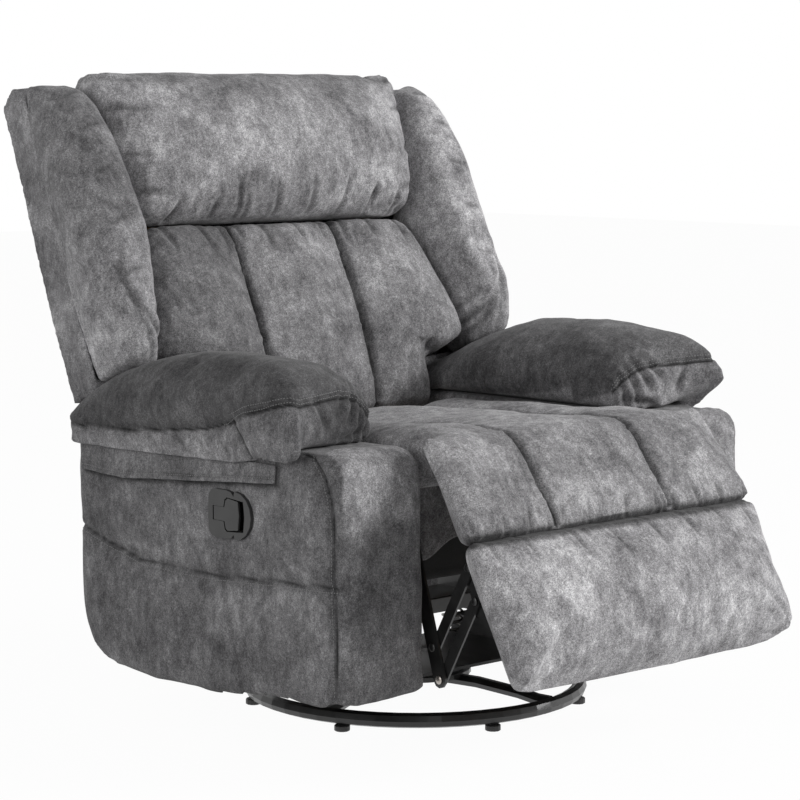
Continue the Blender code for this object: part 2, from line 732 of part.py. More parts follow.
def arm_pad(name, side):
    """The pillow on top of an arm: full at the front, tapering to the rear, drooping over the outside."""
    third = (ARM_OUTER - PAD_INNER) / 3
    columns = (PAD_INNER, PAD_INNER + third, PAD_INNER + 2 * third, ARM_OUTER - 0.003, ARM_OUTER + 0.009,
               PAD_OUTER)
    seat = ARM_TOP + GAP
    floor = (seat, seat, seat, seat + PAD_LIFT, seat - PAD_DROOP * 0.4, seat - PAD_DROOP)
    fall = (0.044, 0.012, 0.000, 0.000, 0.014, 0.046)
    rows = (PAD_REAR, 0.30, 0.245, 0.19, 0.10, 0.0, -0.10, -0.19, PAD_FRONT)
    top = (0.496, 0.539, 0.570, 0.596, 0.616, 0.623, 0.623, 0.610, 0.568)

    def place(u, v, w):
        height = knot(top, v) - knot(fall, u)
        low = knot(floor, u)
        y = knot(rows, v)
        if v > 0.4:
            y += (v - 0.4) / 0.6 * (PAD_CORNER_OUTER if u > 0 else PAD_CORNER_INNER) * u * u
        return Vector((side * knot(columns, u), y, mix(low, max(height, low + 0.012), (w + 1) / 2)))

    soft("arm_pad_" + name, (5, 8, 2), place, "chassis")


def arm_flap(name, side):
    """The stitched flap of cloth that hangs below the pad on the outer side."""
    outline = [(FLAP_FRONT, FLAP_TOP), (FLAP_FRONT, FLAP_FRONT_Z), (FLAP_REAR - 0.07, FLAP_REAR_Z),
               (FLAP_REAR, FLAP_REAR_Z + 0.02), (FLAP_REAR, FLAP_TOP)]
    inner = ARM_OUTER + GAP
    span = (side * inner, side * (inner + FLAP_THICKNESS))
    from_bmesh("arm_flap_" + name, side_plate_mesh([rounded(outline, 0.008, 2)], *span), "chassis", SUEDE)


def handle_outline(inset):
    """D-shaped outline of the handle: square to the rear, bowed to the front."""
    rear = HANDLE_Y + BEZEL_LENGTH / 2 - inset
    front = HANDLE_Y - BEZEL_LENGTH / 2 + inset
    half = BEZEL_HEIGHT / 2 - inset
    shoulder = mix(rear, front, 0.62)
    points = [(rear, HANDLE_Z - half), (rear, HANDLE_Z + half)]
    corner = rounded(points + [(shoulder, HANDLE_Z + half), (shoulder, HANDLE_Z - half)], half * 0.5)
    keep = [p for p in corner if p[0] > shoulder + 0.001]
    bow = []
    for i in range(9):
        a = pi / 2 - pi * i / 8
        bow.append((shoulder + (front - shoulder) * cos(a), HANDLE_Z + half * sin(a)))
    rear_half = sorted(keep, key=lambda p: atan2(p[1] - HANDLE_Z, p[0] - shoulder))
    return rear_half + bow


def paddle_outline(clearance, front):
    """T shape of the pull: a stem to the rear and a tall plate to the front."""
    stem_rear = PADDLE_AXIS_Y + 0.002 + clearance * STEM_CLEARANCE / PADDLE_CLEARANCE
    stem_front = PADDLE_AXIS_Y - PADDLE_STEM + clearance
    stem_half = PADDLE_STEM_HEIGHT / 2 + min(clearance, GAP)
    plate_half = BEZEL_HEIGHT / 2 - BEZEL_RIM - PADDLE_CLEARANCE + clearance
    low = HANDLE_Z - plate_half
    high = HANDLE_Z + plate_half
    return [(stem_rear, HANDLE_Z - stem_half), (stem_rear, HANDLE_Z + stem_half),
            (stem_front, HANDLE_Z + stem_half), (stem_front - 0.003, high - 0.004),
            (stem_front - 0.008, high),
            (front, high - 0.003), (front - 0.003, HANDLE_Z), (front, low + 0.003),
            (stem_front - 0.008, low), (stem_front - 0.003, low + 0.004), (stem_front, HANDLE_Z - stem_half)]


def release_handle(cover):
    """The recessed handle: a cup let into the arm, with a bezel, and the pull hinged in it."""
    face = HANDLE_FACE
    bezel = from_bmesh("handle_bezel", side_plate_mesh([handle_outline(0)], face, -(ARM_OUTER + GAP)),
                       "chassis", PLASTIC)
    bottom = -(ARM_OUTER - CUP_DEPTH)
    cup_inset = BEZEL_RIM - CUP_WALL
    cup = side_plate_mesh([handle_outline(cup_inset)], -(ARM_OUTER + BEZEL_LIP / 2), bottom + CUP_WALL)
    combine(bezel, tool("handle_cup", cup, "chassis"), 'UNION')
    slot_front = PADDLE_AXIS_Y - PADDLE_STEM - PADDLE_PLATE - FINGER_GAP
    slot = side_plate_mesh([paddle_outline(PADDLE_CLEARANCE, slot_front)], face - 0.01, bottom)
    combine(bezel, tool("handle_slot", slot, "chassis"), 'DIFFERENCE')
    pocket = side_plate_mesh([handle_outline(cup_inset - GAP)], -(ARM_OUTER + 0.002), bottom + 0.02)
    combine(cover, tool("handle_pocket", pocket, "chassis"), 'DIFFERENCE')
    front = PADDLE_AXIS_Y - PADDLE_STEM - PADDLE_PLATE
    paddle = side_plate_mesh([paddle_outline(0, front)], face + GAP, face + GAP + PADDLE_THICKNESS)
    bevel(from_bmesh("release_paddle", paddle, "paddle", PLASTIC), 0.0008, 1)


def link(name, start, end, lane, side, body, holes, half_width=LINK_HALF_WIDTH):
    """A flat steel link with round ends and its rivet holes."""
    outlines = [stadium(start, end, half_width)]
    outlines += [circle(point, RIVET + RIVET_CLEARANCE) for point in holes]
    return from_bmesh(name, side_plate_mesh(outlines, side * lane[0], side * lane[1]), body, STEEL)


def swing_links(name, side):
    for end, foot in (("front", SWING_FRONT), ("rear", SWING_REAR)):
        head = foot + SWING_STEP
        link("%s_swing_link_%s" % (end, name), foot, head, LANE_SWING, side, end + "_swing", (foot, head))


def seat_side_plate(name, side):
    """The steel side of the seat, with the swing pins, the footrest link hole and the back hinge hole."""
    heads = [SWING_FRONT + SWING_STEP, SWING_REAR + SWING_STEP]
    s, b = SEAT_LINK_PIVOT, Vector(BACK_PIVOT)
    lug = 0.020
    low = heads[0].y - lug
    front, rear = heads[0].x, heads[1].x
    top = FRAME_TOP - 0.008
    outline = [(s.x - lug, s.y + lug), (s.x - lug, s.y - lug), (front - 0.03, low), (front + 0.02, low),
               (front + 0.06, low + 0.045), (rear - 0.05, low + 0.045), (rear - 0.02, low),
               (rear + 0.03, low), (b.x + lug, b.y - lug), (b.x + lug, b.y + lug), (FRAME_REAR - 0.02, top)]
    holes = [circle(s, RIVET + RIVET_CLEARANCE), circle(b, BACK_PIN + RIVET_CLEARANCE)]
    span = (side * LANE_PLATE[0], side * LANE_PLATE[1])
    plate = from_bmesh("seat_side_plate_" + name, side_plate_mesh([rounded(outline, 0.018)] + holes, *span),
                       "seat", STEEL)
    for end, head in zip(("front", "rear"), heads):
        root = side * (LANE_PLATE[0] + RAIL_GAUGE / 2)
        pin = rod_mesh(head, root, side * (LANE_SWING[0] - RIVET_PROUD), RIVET)
        combine(plate, tool("swing_head_%s_%s" % (end, name), pin, "seat"), 'UNION')


def seat_frame():
    """A timber frame with blocks for the side plates and a deep front board."""
    reach = LANE_PLATE[0] - GAP
    outer = []
    for side in (1, -1):
        half = [(FRAME_FRONT, FRAME_HALF), (FRAME_BLOCK[0], FRAME_HALF), (FRAME_BLOCK[0], reach),
                (FRAME_BLOCK[1], reach), (FRAME_BLOCK[1], FRAME_HALF), (FRAME_REAR, FRAME_HALF)]
        outer += [(side * x, y) for y, x in (half if side > 0 else half[::-1])]
    inner_x = FRAME_HALF - FRAME_RAIL
    inner_low, inner_high = FRAME_FRONT + FRAME_RAIL, FRAME_REAR - FRAME_RAIL
    inner = [(-inner_x, inner_low), (inner_x, inner_low), (inner_x, inner_high), (-inner_x, inner_high)]
    middle = FRAME_TOP - FRAME_DEPTH / 2
    frame = from_bmesh("seat_frame", flat_mesh([outer, inner], FRAME_DEPTH,
                       lambda a, b, d: Vector((a, b, middle + d))), "seat", TIMBER)
    board = tool("seat_front_board", box_mesh((-FRAME_HALF, FRAME_FRONT, FRONT_BOARD_BOTTOM),
                 (FRAME_HALF, FRAME_FRONT + BOARD, middle)), "seat")
    combine(frame, board, 'UNION')


def seat_springs():
    """Zigzag wires stretched from the front rail to the rear rail of the seat frame."""
    z = FRAME_TOP + GAP + SEAT_WIRE
    start, end = FRAME_FRONT + FRAME_RAIL / 2, FRAME_REAR - FRAME_RAIL / 2
    step = (end - start) / (SEAT_WIRE_BENDS + 1)
    for number, x in enumerate(SEAT_WIRES):
        points = [(x, start, z)]
        for i in range(SEAT_WIRE_BENDS):
            swing = SEAT_WIRE_SWING * (-1) ** i
            y = start + step * (i + 1)
            bend = step * 0.38
            points += [(x + swing * 0.6, y - bend, z), (x + swing, y, z), (x + swing * 0.6, y + bend, z)]
        points.append((x, end, z))
        tube("seat_spring_%d" % (number + 1), points, SEAT_WIRE, "seat", SPRING_STEEL, 1)


def seat_cushion():
    columns = []
    edges = (-SEAT_HALF, -SEAT_SEAM, SEAT_SEAM, SEAT_HALF)
    for a, b in zip(edges, edges[1:]):
        columns += [mix(a, b, t / 3) for t in range(3)]
    columns.append(SEAT_HALF)
    bottom = FRAME_TOP + 2 * GAP + 2 * SEAT_WIRE

    def place(u, v, w):
        x = knot(columns, u)
        front = mix(SEAT_NOSE + SEAT_UNDERCUT, SEAT_NOSE, (w + 1) / 2)
        y = mix(SEAT_REAR, front, (v + 1) / 2)
        top = mix(SEAT_REAR_TOP, SEAT_FRONT_TOP, (v + 1) / 2) + SEAT_CROWN * crown(edges, x)
        return Vector((x - SEAT_DRAW * u * (1 - v * v), y, mix(bottom, top, (w + 1) / 2)))

    soft("seat_cushion", (9, 5, 2), place, "seat")


def seat_links(name, side):
    """The long link from the seat side to the knee, with the knee rivets of both foot links."""
    item = link("seat_link_" + name, SEAT_LINK_PIVOT, KNEE, LANE_SEAT_LINK, side, "seat_link", ())
    middle = (LANE_SEAT_LINK[0] + LANE_SEAT_LINK[1]) / 2
    knee_reach = LANE_FOOT_LINK[0] - RIVET_PROUD
    ends = (("pivot", SEAT_LINK_PIVOT, LANE_PLATE[1] + RIVET_PROUD), ("knee", KNEE, knee_reach),
            ("rear_knee", KNEE_REAR, knee_reach))
    for end, point, reach in ends:
        pin = rod_mesh(point, side * middle, side * reach, RIVET)
        combine(item, tool("link_%s_%s" % (end, name), pin, "seat_link"), 'UNION')


def foot_links(name, side):
    for end, low, high in (("front", KNEE, FOOT_PIVOT), ("rear", KNEE_REAR, FOOT_PIVOT_REAR)):
        link("%s_foot_link_%s" % (end, name), low, high, LANE_FOOT_LINK, side, end + "_foot_link",
             (low, high), FOOT_LINK_HALF_WIDTH)


def shin_point(along, inward):
    """Side-view point of the footrest, along its lower face and in from it."""
    return FOOT_SEAM_POINT + SHIN_DIR * along - SHIN_OUT * inward


def footrest_board():
    inward = FOOT_THICKNESS + GAP + FOOT_BOARD / 2
    half = LANE_BRACKET[0] - GAP
    outline = [(-half, 0.006), (half, 0.006), (half, FOOT_BOARD_LENGTH), (-half, FOOT_BOARD_LENGTH)]

    def place(a, b, d):
        point = shin_point(b, inward + d)
        return Vector((a, point.x, point.y))

    from_bmesh("footrest_board", flat_mesh([rounded(outline, 0.02)], FOOT_BOARD, place), "footrest", TIMBER)


def footrest_bracket(name, side):
    """The steel ear on the edge of the footrest board that the foot links are riveted to."""
    face = FOOT_THICKNESS + 2 * GAP
    corners = ((0.010, face), (0.150, face), (0.150, face + 0.012), (0.092, face + 0.053),
               (0.010, face + 0.045))
    outline = rounded([tuple(shin_point(along, inward)) for along, inward in corners], 0.012)
    span = (side * LANE_BRACKET[0], side * LANE_BRACKET[1])
    ear = from_bmesh("footrest_bracket_" + name, side_plate_mesh([outline], *span), "footrest", STEEL)
    middle = (LANE_BRACKET[0] + LANE_BRACKET[1]) / 2
    for end, point in (("front", FOOT_PIVOT), ("rear", FOOT_PIVOT_REAR)):
        pin = rod_mesh(point, side * middle, side * (LANE_FOOT_LINK[1] + RIVET_PROUD / 2), RIVET)
        combine(ear, tool("bracket_%s_%s" % (end, name), pin, "footrest"), 'UNION')


def chaise_pad():
    """The three-channel pad between the seat and the transverse seam, a wedge about the pole."""
    edges = (-FOOT_HALF, -FOOT_SEAM, FOOT_SEAM, FOOT_HALF)
    shares = ((0.0, 0.09, 0.55), (0.0, 1 / 3, 2 / 3), (0.0, 0.45, 0.91))
    columns = []
    for a, b, cuts in zip(edges, edges[1:], shares):
        columns += [mix(a, b, cut) for cut in cuts]
    columns.append(FOOT_HALF)
    inner_top = Vector(POLE) + Vector((-0.001, -CHAISE_TOP_EDGE))
    inner_end = FOOT_SEAM_POINT - SHIN_OUT * FOOT_THICKNESS

    def place(u, v, w):
        t = (v + 1) / 2
        x = knot(columns, u)
        swell = FOOT_CROWN * crown(edges, x) * (1 - (2 * t - 1) ** 2 * 0.7)
        outer = Vector(POLE) + CHAISE_DIR * (t * CHAISE_LENGTH) + CHAISE_OUT * swell
        inner = inner_top.lerp(inner_end, t)
        point = inner.lerp(outer, (w + 1) / 2)
        drawn = 1 - FOOT_SIDE_DRAW / FOOT_HALF * (1 - w) / 2
        return Vector((x * drawn, point.x, point.y))

    soft("chaise_pad", (9, 4, 2), place, "footrest")


def shin_pad():
    """The plain lower pad of the footrest, crowned, with round lower corners."""
    columns = (-1.0, -0.92, -0.58, -0.2, 0.2, 0.58, 0.92, 1.0)
    rows = (0.0, 0.14, 0.5, 0.84, 1.0)

    def place(u, v, w):
        t = knot(rows, v)
        x = knot(columns, u)
        along = mix(GAP, SHIN_LENGTH, t)
        swell = FOOT_CROWN * (1 - x ** 4) * (1 - (2 * t - 1) ** 4)
        inward = mix(FOOT_THICKNESS, -swell, (w + 1) / 2)
        corner = max(0.0, (t - 0.6) / 0.4) ** 2 * abs(x) ** 3
        point = shin_point(along - 0.006 * corner, inward)
        half = FOOT_HALF - 0.002 * corner - FOOT_SIDE_DRAW * (1 - w) / 2
        return Vector((x * half, point.x, point.y))

    soft("shin_pad", (7, 4, 2), place, "footrest")


def back_point(x, s, n):
    """Point of the back: x across, s up along it, n out of its seam plane to the front."""
    tilt = radians(BACK_TILT)
    y = BACK_ORIGIN[0] + s * sin(tilt) - n * cos(tilt)
    z = BACK_ORIGIN[1] + s * cos(tilt) + n * sin(tilt)
    return Vector((x, y, z))


def back_local(point):
    tilt = radians(BACK_TILT)
    dy, dz = point[0] - BACK_ORIGIN[0], point[1] - BACK_ORIGIN[1]
    return dy * sin(tilt) + dz * cos(tilt), dz * sin(tilt) - dy * cos(tilt)


def back_frame():
    """A ladder frame: two posts with hinge pins at the foot and slats across."""
    pivot_s, pivot_n = back_local(BACK_PIVOT)
    front = BACK_FACE - GAP
    middle = front - POST_DEPTH / 2
    foot = pivot_s - 0.018
    pitch = (SLAT_TOP - BACK_FOOT) / (SLAT_COUNT - 1) * 0.92
    slat_edges = [SLAT_TOP - pitch * i for i in range(SLAT_COUNT)]
    outer = [(-POST_OUTER, foot), (-POST_INNER, foot), (-POST_INNER, slat_edges[-1] - SLAT_HEIGHT),
             (POST_INNER, slat_edges[-1] - SLAT_HEIGHT), (POST_INNER, foot), (POST_OUTER, foot),
             (POST_OUTER, SLAT_TOP), (-POST_OUTER, SLAT_TOP)]
    holes = []
    for high, low in zip(slat_edges, slat_edges[1:]):
        holes.append([(-POST_INNER, low), (POST_INNER, low), (POST_INNER, high - SLAT_HEIGHT),
                      (-POST_INNER, high - SLAT_HEIGHT)])
    frame = from_bmesh("back_frame", flat_mesh([outer] + holes, POST_DEPTH,
                       lambda a, b, d: back_point(a, b, middle + d)), "back", TIMBER)
    for name, side in SIDES:
        root = side * (POST_OUTER - 0.006)
        pin = rod_mesh(BACK_PIVOT, root, side * (LANE_PLATE[1] + RIVET_PROUD), BACK_PIN)
        combine(frame, tool("back_pin_" + name, pin, "back"), 'UNION')


def inner_edge(s):
    return profile(INNER_EDGE, s)


def back_shell():
    """The upholstered rear of the back: a crowned panel with top and sides turned forward, open below."""
    step = 0.012
    side_rows = [mix(BACK_SIDE_FOOT, BACK_TOP, share) for share in (0.0, 0.2, 0.4, 0.6, 0.8, 0.95, 1.0)]
    rows = [BACK_FOOT, 0.0, BACK_SIDE_FOOT - step] + side_rows
    widths = [BACK_NARROW] * 3 + [WING_OUTER] * 6 + [WING_OUTER - step]
    bm = bmesh.new()
    bmesh.ops.create_grid(bm, x_segments=8, y_segments=len(rows) - 1, size=1)
    for vert in bm.verts:
        u, v = vert.co.x, vert.co.y
        s = knot(rows, v)
        swell = 0.012 * (1 - u * u) * max(0.0, 1 - ((s - 0.36) / 0.30) ** 2)
        roll = BACK_ROLL if v > 0.999 else 0.0
        vert.co = back_point(u * knot(widths, v), s, BACK_REAR + roll - swell)
    foot = back_point(0, BACK_FOOT, BACK_REAR).z + 0.001
    rim = [e for e in bm.edges if e.is_boundary and max(v.co.z for v in e.verts) > foot]
    grown = bmesh.ops.extrude_edge_only(bm, edges=rim)["geom"]
    for vert in [g for g in grown if isinstance(g, bmesh.types.BMVert)]:
        s = back_local((vert.co.y, vert.co.z))[0]
        drop = (BACK_TOP - WING_TOP) * max(0.0, (s - BACK_SIDE_FOOT) / (BACK_TOP - BACK_SIDE_FOOT))
        vert.co = back_point(vert.co.x, s - drop, BACK_FACE)
    shell = from_bmesh("back_shell", bm, "back", SUEDE)
    wall = shell.modifiers.new("wall", 'SOLIDIFY')
    wall.thickness = BACK_WALL
    wall.offset = -1
    wall.use_even_offset = True


def back_wing(name, side):
    """A padded wing beside the headrest: crest near its middle, rounded over the outside and the top."""
    rows = (WING_FOOT, 0.16, 0.24, 0.34, 0.44, 0.52, 0.58, WING_TOP)
    proud = (0.82, 1.0, 1.01, 1.0, 0.98, 0.90, 0.68, 0.26)
    across = (0.38, 0.74, 0.96, 1.0, 0.88)
    rolled = (0.40, 0.78, 1.0, 0.80, 0.58)

    def place(u, v, w):
        s = knot(rows, v)
        lift = profile(EDGE_RISE, s) * ((1 - u) / 2) ** 2
        share = mix(knot(across, u), knot(rolled, u), max(0.0, min(1.0, (s - 0.40) / 0.14)))
        front = BACK_FACE + (WING_PROUD - BACK_FACE) * knot(proud, v) * share + lift
        n = mix(BACK_FACE + GAP, front, (w + 1) / 2)
        outer = WING_OUTER + WING_BULGE * (1 - w * w) * (1 - v * v)
        x = mix(inner_edge(s) + GAP * 3, outer, (u + 1) / 2)
        return back_point(side * x, s, n)

    soft("back_wing_" + name, (4, 7, 2), place, "back", sewn=True)


def headrest():
    """The head pillow: it overhangs the channels below and rolls back at the top."""
    rows = (HEAD_SEAM, 0.385, 0.450, 0.530, 0.590, HEAD_TOP)
    proud = (0.42, 0.95, 1.0, 0.88, 0.66, 0.30)

    def place(u, v, w):
        s = knot(rows, v)
        x = u * (inner_edge(s) - GAP)
        n = mix(BACK_FACE + GAP, HEAD_PROUD * knot(proud, v) * (1 - 0.45 * u ** 4), (w + 1) / 2)
        return back_point(x, s, n)

    soft("headrest", (8, 5, 2), place, "back")


def back_channels():
    """The three-channel back cushion: narrow between the arms, wider above them."""
    rows = (CHANNEL_FOOT, WING_FOOT - 0.010, WING_FOOT - 0.004, WING_FOOT, WING_FOOT + 0.024, 0.20, 0.28,
            HEAD_SEAM - 2 * GAP)

    def place(u, v, w):
        s = knot(rows, v)
        half = BACK_NARROW if s < WING_FOOT else inner_edge(s) - GAP
        edges = (-half, -CHANNEL_SEAM, CHANNEL_SEAM, half)
        columns = []
        for a, b in zip(edges, edges[1:]):
            columns += [mix(a, b, t / 3) for t in range(3)]
        columns.append(half)
        x = knot(columns, u)
        swell = CHANNEL_CROWN * crown(edges, x) * (1 - abs(v) ** 4 * 0.6)
        if s >= WING_FOOT and abs(x) > CHANNEL_SEAM:
            swell += profile(EDGE_RISE, s) * ((abs(x) - CHANNEL_SEAM) / (half - CHANNEL_SEAM)) ** 2
        return back_point(x, s, mix(BACK_FACE + GAP, swell, (w + 1) / 2))

    soft("back_channels", (9, 7, 1), place, "back")


def build():
    make_bodies()
    ring_base()
    spider_base()
    swivel_bearing()
    swivel_plate()
    rocker_springs()
    cross_tubes()
    for name, side in SIDES:
        rocker_cam(name, side)
        mechanism_rail(name, side)
        cover = arm_cover(name, side)
        arm_frame(name, side)
        arm_pad(name, side)
        arm_flap(name, side)
        swing_links(name, side)
        seat_side_plate(name, side)
        seat_links(name, side)
        foot_links(name, side)
        footrest_bracket(name, side)
        back_wing(name, side)
        if side < 0:
            release_handle(cover)
    seat_frame()
    seat_springs()
    seat_cushion()
    footrest_board()
    chaise_pad()
    shin_pad()
    back_frame()
    back_shell()
    headrest()
    back_channels()
    bpy.context.view_layer.update()


build()
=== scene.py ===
import math

import bmesh
import bpy
import numpy as np
from mathutils import Matrix, Vector, noise
from mathutils.bvhtree import BVHTree


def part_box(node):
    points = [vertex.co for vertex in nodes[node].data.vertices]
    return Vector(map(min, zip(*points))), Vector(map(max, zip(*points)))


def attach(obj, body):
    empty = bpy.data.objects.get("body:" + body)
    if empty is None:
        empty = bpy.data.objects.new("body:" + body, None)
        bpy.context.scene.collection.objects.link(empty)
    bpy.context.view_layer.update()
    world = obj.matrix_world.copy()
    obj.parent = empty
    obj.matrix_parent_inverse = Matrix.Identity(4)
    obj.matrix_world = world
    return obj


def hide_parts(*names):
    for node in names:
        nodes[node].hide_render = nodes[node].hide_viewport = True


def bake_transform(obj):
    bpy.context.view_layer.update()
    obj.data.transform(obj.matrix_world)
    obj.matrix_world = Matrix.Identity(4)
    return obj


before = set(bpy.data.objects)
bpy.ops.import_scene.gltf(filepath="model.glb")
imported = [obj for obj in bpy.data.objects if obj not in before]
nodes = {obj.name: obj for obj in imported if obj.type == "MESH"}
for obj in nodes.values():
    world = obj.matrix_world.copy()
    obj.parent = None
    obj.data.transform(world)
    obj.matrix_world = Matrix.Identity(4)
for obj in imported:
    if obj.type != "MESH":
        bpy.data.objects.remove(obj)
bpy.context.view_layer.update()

# Sizes shared with the solids, in metres
SHIFT = -0.00425
BACK_TILT = math.radians(22.2)
BACK_FOOT = (0.227 + SHIFT, 0.474)
POLE = (-0.330 + SHIFT, 0.500)
CHAISE_LENGTH = 0.190
CHAISE_END = (-0.4588 + SHIFT, 0.3604)
SHIN_DOWN = np.array((0.0, -0.4305, -0.9026))
SHIN_OUT = np.array((0.0, -0.9026, 0.4305))
CHAISE_DOWN = np.array((0.0, -0.678, -0.735))
CHAISE_OUT = np.array((0.0, -0.735, 0.678))
DOWN = np.array((0.0, 0.0, -1.0))
BACK_UP = np.array((0.0, math.sin(BACK_TILT), math.cos(BACK_TILT)))
BACK_OUT = np.array((0.0, -math.cos(BACK_TILT), math.sin(BACK_TILT)))
ARM_SIDE = 0.455
ARM_INNER = 0.284
ARM_FRONT = -0.324 + SHIFT
PAD_SIDE = 0.478
FLAP_FRONT = -0.180 + SHIFT
FLAP_REAR = 0.315 + SHIFT
FLAP_TOP = 0.458
FLAP_HEM = 0.0085
FLAP_HEM_FRONT = -0.172 + SHIFT
FRONT_CLOTH_HALF = 0.2462
SEAT_SEAM = 0.128
CHANNEL_SEAM = 0.117
HEAD_SEAM = 0.353
HANDLE = (-0.0650 + SHIFT, 0.368)
KNEE_RIVETS = ((-0.334 + SHIFT, 0.123), (-0.31896 + SHIFT, 0.17173))
FOOT_RIVETS = ((-0.4056 + SHIFT, 0.255), (-0.39056 + SHIFT, 0.30373))
KNEE_RIVET_FACE = 0.2698
FOOT_RIVET_FACE = 0.2645
RIVET_RADIUS = 0.0066
RIVET_HEIGHT = 0.0024

# Nap and painted light and shade on each panel: above nought darker, below nought lighter. The values stand
# partly for the brushed nap and partly for how light falls on each panel
NAP_AND_SHADE = {"head": -0.20, "head_top": 0.25, "channel_right": 0.36, "seat": -0.22, "chaise": -0.05,
       "shin": -0.32, "arm_side": 0.36, "arm_front": 0.45, "arm_front_top": -0.10, "flap": 0.48,
       "apron": 0.35, "back": 0.1}
NAP_AND_SHADE_RIGHT = {"wing_top": 0.28, "wing_foot": -0.22, "pad_top": 1.0, "pad_front": 0.90, "pad_side": 0.05}
NAP_AND_SHADE_LEFT = {"wing_top": -0.30, "wing_foot": -0.30, "pad_top": 0.70, "pad_front": -0.10, "pad_side": 0.1}

# How the fabric is made
CUSHION_VOXEL = 0.0075
PANEL_VOXEL = 0.0055
PRESSURE = 4.0
STITCH_PITCH = 0.0052
STITCH_LENGTH = 0.0036
STITCH_RADIUS = 0.00065


# Colours and finishes


def linear(shade):
    value = shade / 255.0
    if value <= 0.04045:
        return value / 12.92
    return ((value + 0.055) / 1.055) ** 2.4


def grey(shade, warm=0.0):
    return (linear(shade + warm), linear(shade), linear(shade - warm), 1.0)


def cloth_grey(shade):
    return (linear(shade + 0.6), linear(shade - 0.5), linear(shade + 1.4), 1.0)


def finish_named(name):
    material = bpy.data.materials.new(name)
    material.use_nodes = True
    tree = material.node_tree
    shader = tree.nodes["Principled BSDF"]
    return material, tree, shader


def add(tree, kind, **values):
    node = tree.nodes.new(kind)
    for key, value in values.items():
        setattr(node, key, value)
    return node


def put(node, **values):
    for label, value in values.items():
        node.inputs[label.replace("_", " ")].default_value = value


def object_space(tree, scale=(1.0, 1.0, 1.0), turn=(0.0, 0.0, 0.0)):
    coordinates = add(tree, "ShaderNodeTexCoord")
    mapping = add(tree, "ShaderNodeMapping")
    put(mapping, Scale=scale, Rotation=turn)
    tree.links.new(coordinates.outputs["Object"], mapping.inputs["Vector"])
    return mapping.outputs["Vector"]


def cloud(tree, vector, scale, detail, roughness=0.55, distortion=0.0):
    texture = add(tree, "ShaderNodeTexNoise")
    put(texture, Scale=scale, Detail=detail, Roughness=roughness, Distortion=distortion)
    tree.links.new(vector, texture.inputs["Vector"])
    return texture.outputs["Fac"]


def ramp(tree, value, stops):
    node = add(tree, "ShaderNodeValToRGB")
    points = node.color_ramp.elements
    while len(points) < len(stops):
        points.new(0.5)
    for point, (place, colour) in zip(points, stops):
        point.position = place
        point.color = colour
    tree.links.new(value, node.inputs["Fac"])
    return node.outputs["Color"]


def blended(tree, kind, factor, first, second):
    node = add(tree, "ShaderNodeMix", data_type="RGBA", blend_type=kind)
    for socket, value in ((0, factor), (6, first), (7, second)):
        if isinstance(value, (float, tuple)):
            node.inputs[socket].default_value = value
        else:
            tree.links.new(value, node.inputs[socket])
    return node.outputs[2]


def arithmetic(tree, kind, first, second):
    node = add(tree, "ShaderNodeMath", operation=kind)
    for socket, value in ((0, first), (1, second)):
        if isinstance(value, float):
            node.inputs[socket].default_value = value
        else:
            tree.links.new(value, node.inputs[socket])
    return node.outputs[0]


def painted_value(tree, name):
    node = add(tree, "ShaderNodeAttribute", attribute_type="GEOMETRY", attribute_name=name)
    return node.outputs["Fac"]


def raised(tree, shader, height, strength, distance, under=None):
    node = add(tree, "ShaderNodeBump")
    put(node, Strength=strength, Distance=distance)
    tree.links.new(height, node.inputs["Height"])
    if under is not None:
        tree.links.new(under, node.inputs["Normal"])
    tree.links.new(node.outputs["Normal"], shader.inputs["Normal"])
    return node.outputs["Normal"]


def suede_finish():
    """Brushed cloth: cloudy patches, fine flecks, nap with painted light and shade per panel, and painted
    shade in seams, folds and gaps, read from the mesh.
    """
    material, tree, shader = finish_named("grey_suede_cloth")
    space = object_space(tree)
    slanted = object_space(tree, (1.0, 1.0, 0.6), (0.5, 0.35, 0.6))
    patches = cloud(tree, space, 9.0, 11.0, 0.70, 0.25)
    crushed = cloud(tree, slanted, 62.0, 9.0, 0.74, 0.3)
    flecks = cloud(tree, space, 240.0, 5.0, 0.75)
    grain = cloud(tree, space, 620.0, 3.0, 0.65)
    tone = arithmetic(tree, "MULTIPLY", patches, 0.42)
    tone = arithmetic(tree, "ADD", tone, arithmetic(tree, "MULTIPLY", crushed, 0.32))
    tone = arithmetic(tree, "ADD", tone, arithmetic(tree, "MULTIPLY", flecks, 0.26))
    shades = ((0.40, 98), (0.465, 136), (0.525, 167), (0.60, 214))
    base = ramp(tree, tone, [(place, cloth_grey(shade)) for place, shade in shades])
    grain_shade = ramp(tree, grain, ((0.32, grey(126)), (0.66, grey(255))))
    base = blended(tree, "MULTIPLY", 0.9, base, grain_shade)
    # Nap and painted light and shade: each panel's value darkens or lightens the colour
    nap_and_shade_factor = arithmetic(tree, "POWER", 0.35, painted_value(tree, "nap_and_shade"))
    base = blended(tree, "MULTIPLY", 1.0, base, nap_and_shade_factor)
    # Painted shade: the colour darkened towards grey 62 in seams, folds and gaps
    shaded_base = blended(tree, "MULTIPLY", 1.0, base, grey(62))
    base = blended(tree, "MIX", painted_value(tree, "painted_shade"), base, shaded_base)
    tree.links.new(base, shader.inputs["Base Color"])
    put(shader, Roughness=0.88, Specular_IOR_Level=0.18)
    put(shader, Sheen_Weight=0.20, Sheen_Roughness=0.45, Sheen_Tint=grey(205))
    under = raised(tree, shader, crushed, 0.28, 0.0030)
    raised(tree, shader, grain, 0.35, 0.0007, under)
    return material


def plain_finish(name, scale, detail, dark, light, roughness, metallic=0.0, bump=None):
    """One cloudy tint between two shades. bump is a strength and a height."""
    material, tree, shader = finish_named(name)
    tone = cloud(tree, object_space(tree), scale, detail)
    tree.links.new(ramp(tree, tone, ((0.3, dark), (0.7, light))), shader.inputs["Base Color"])
    put(shader, Metallic=metallic, Roughness=roughness)
    if bump is not None:
        raised(tree, shader, tone, *bump)
    return material


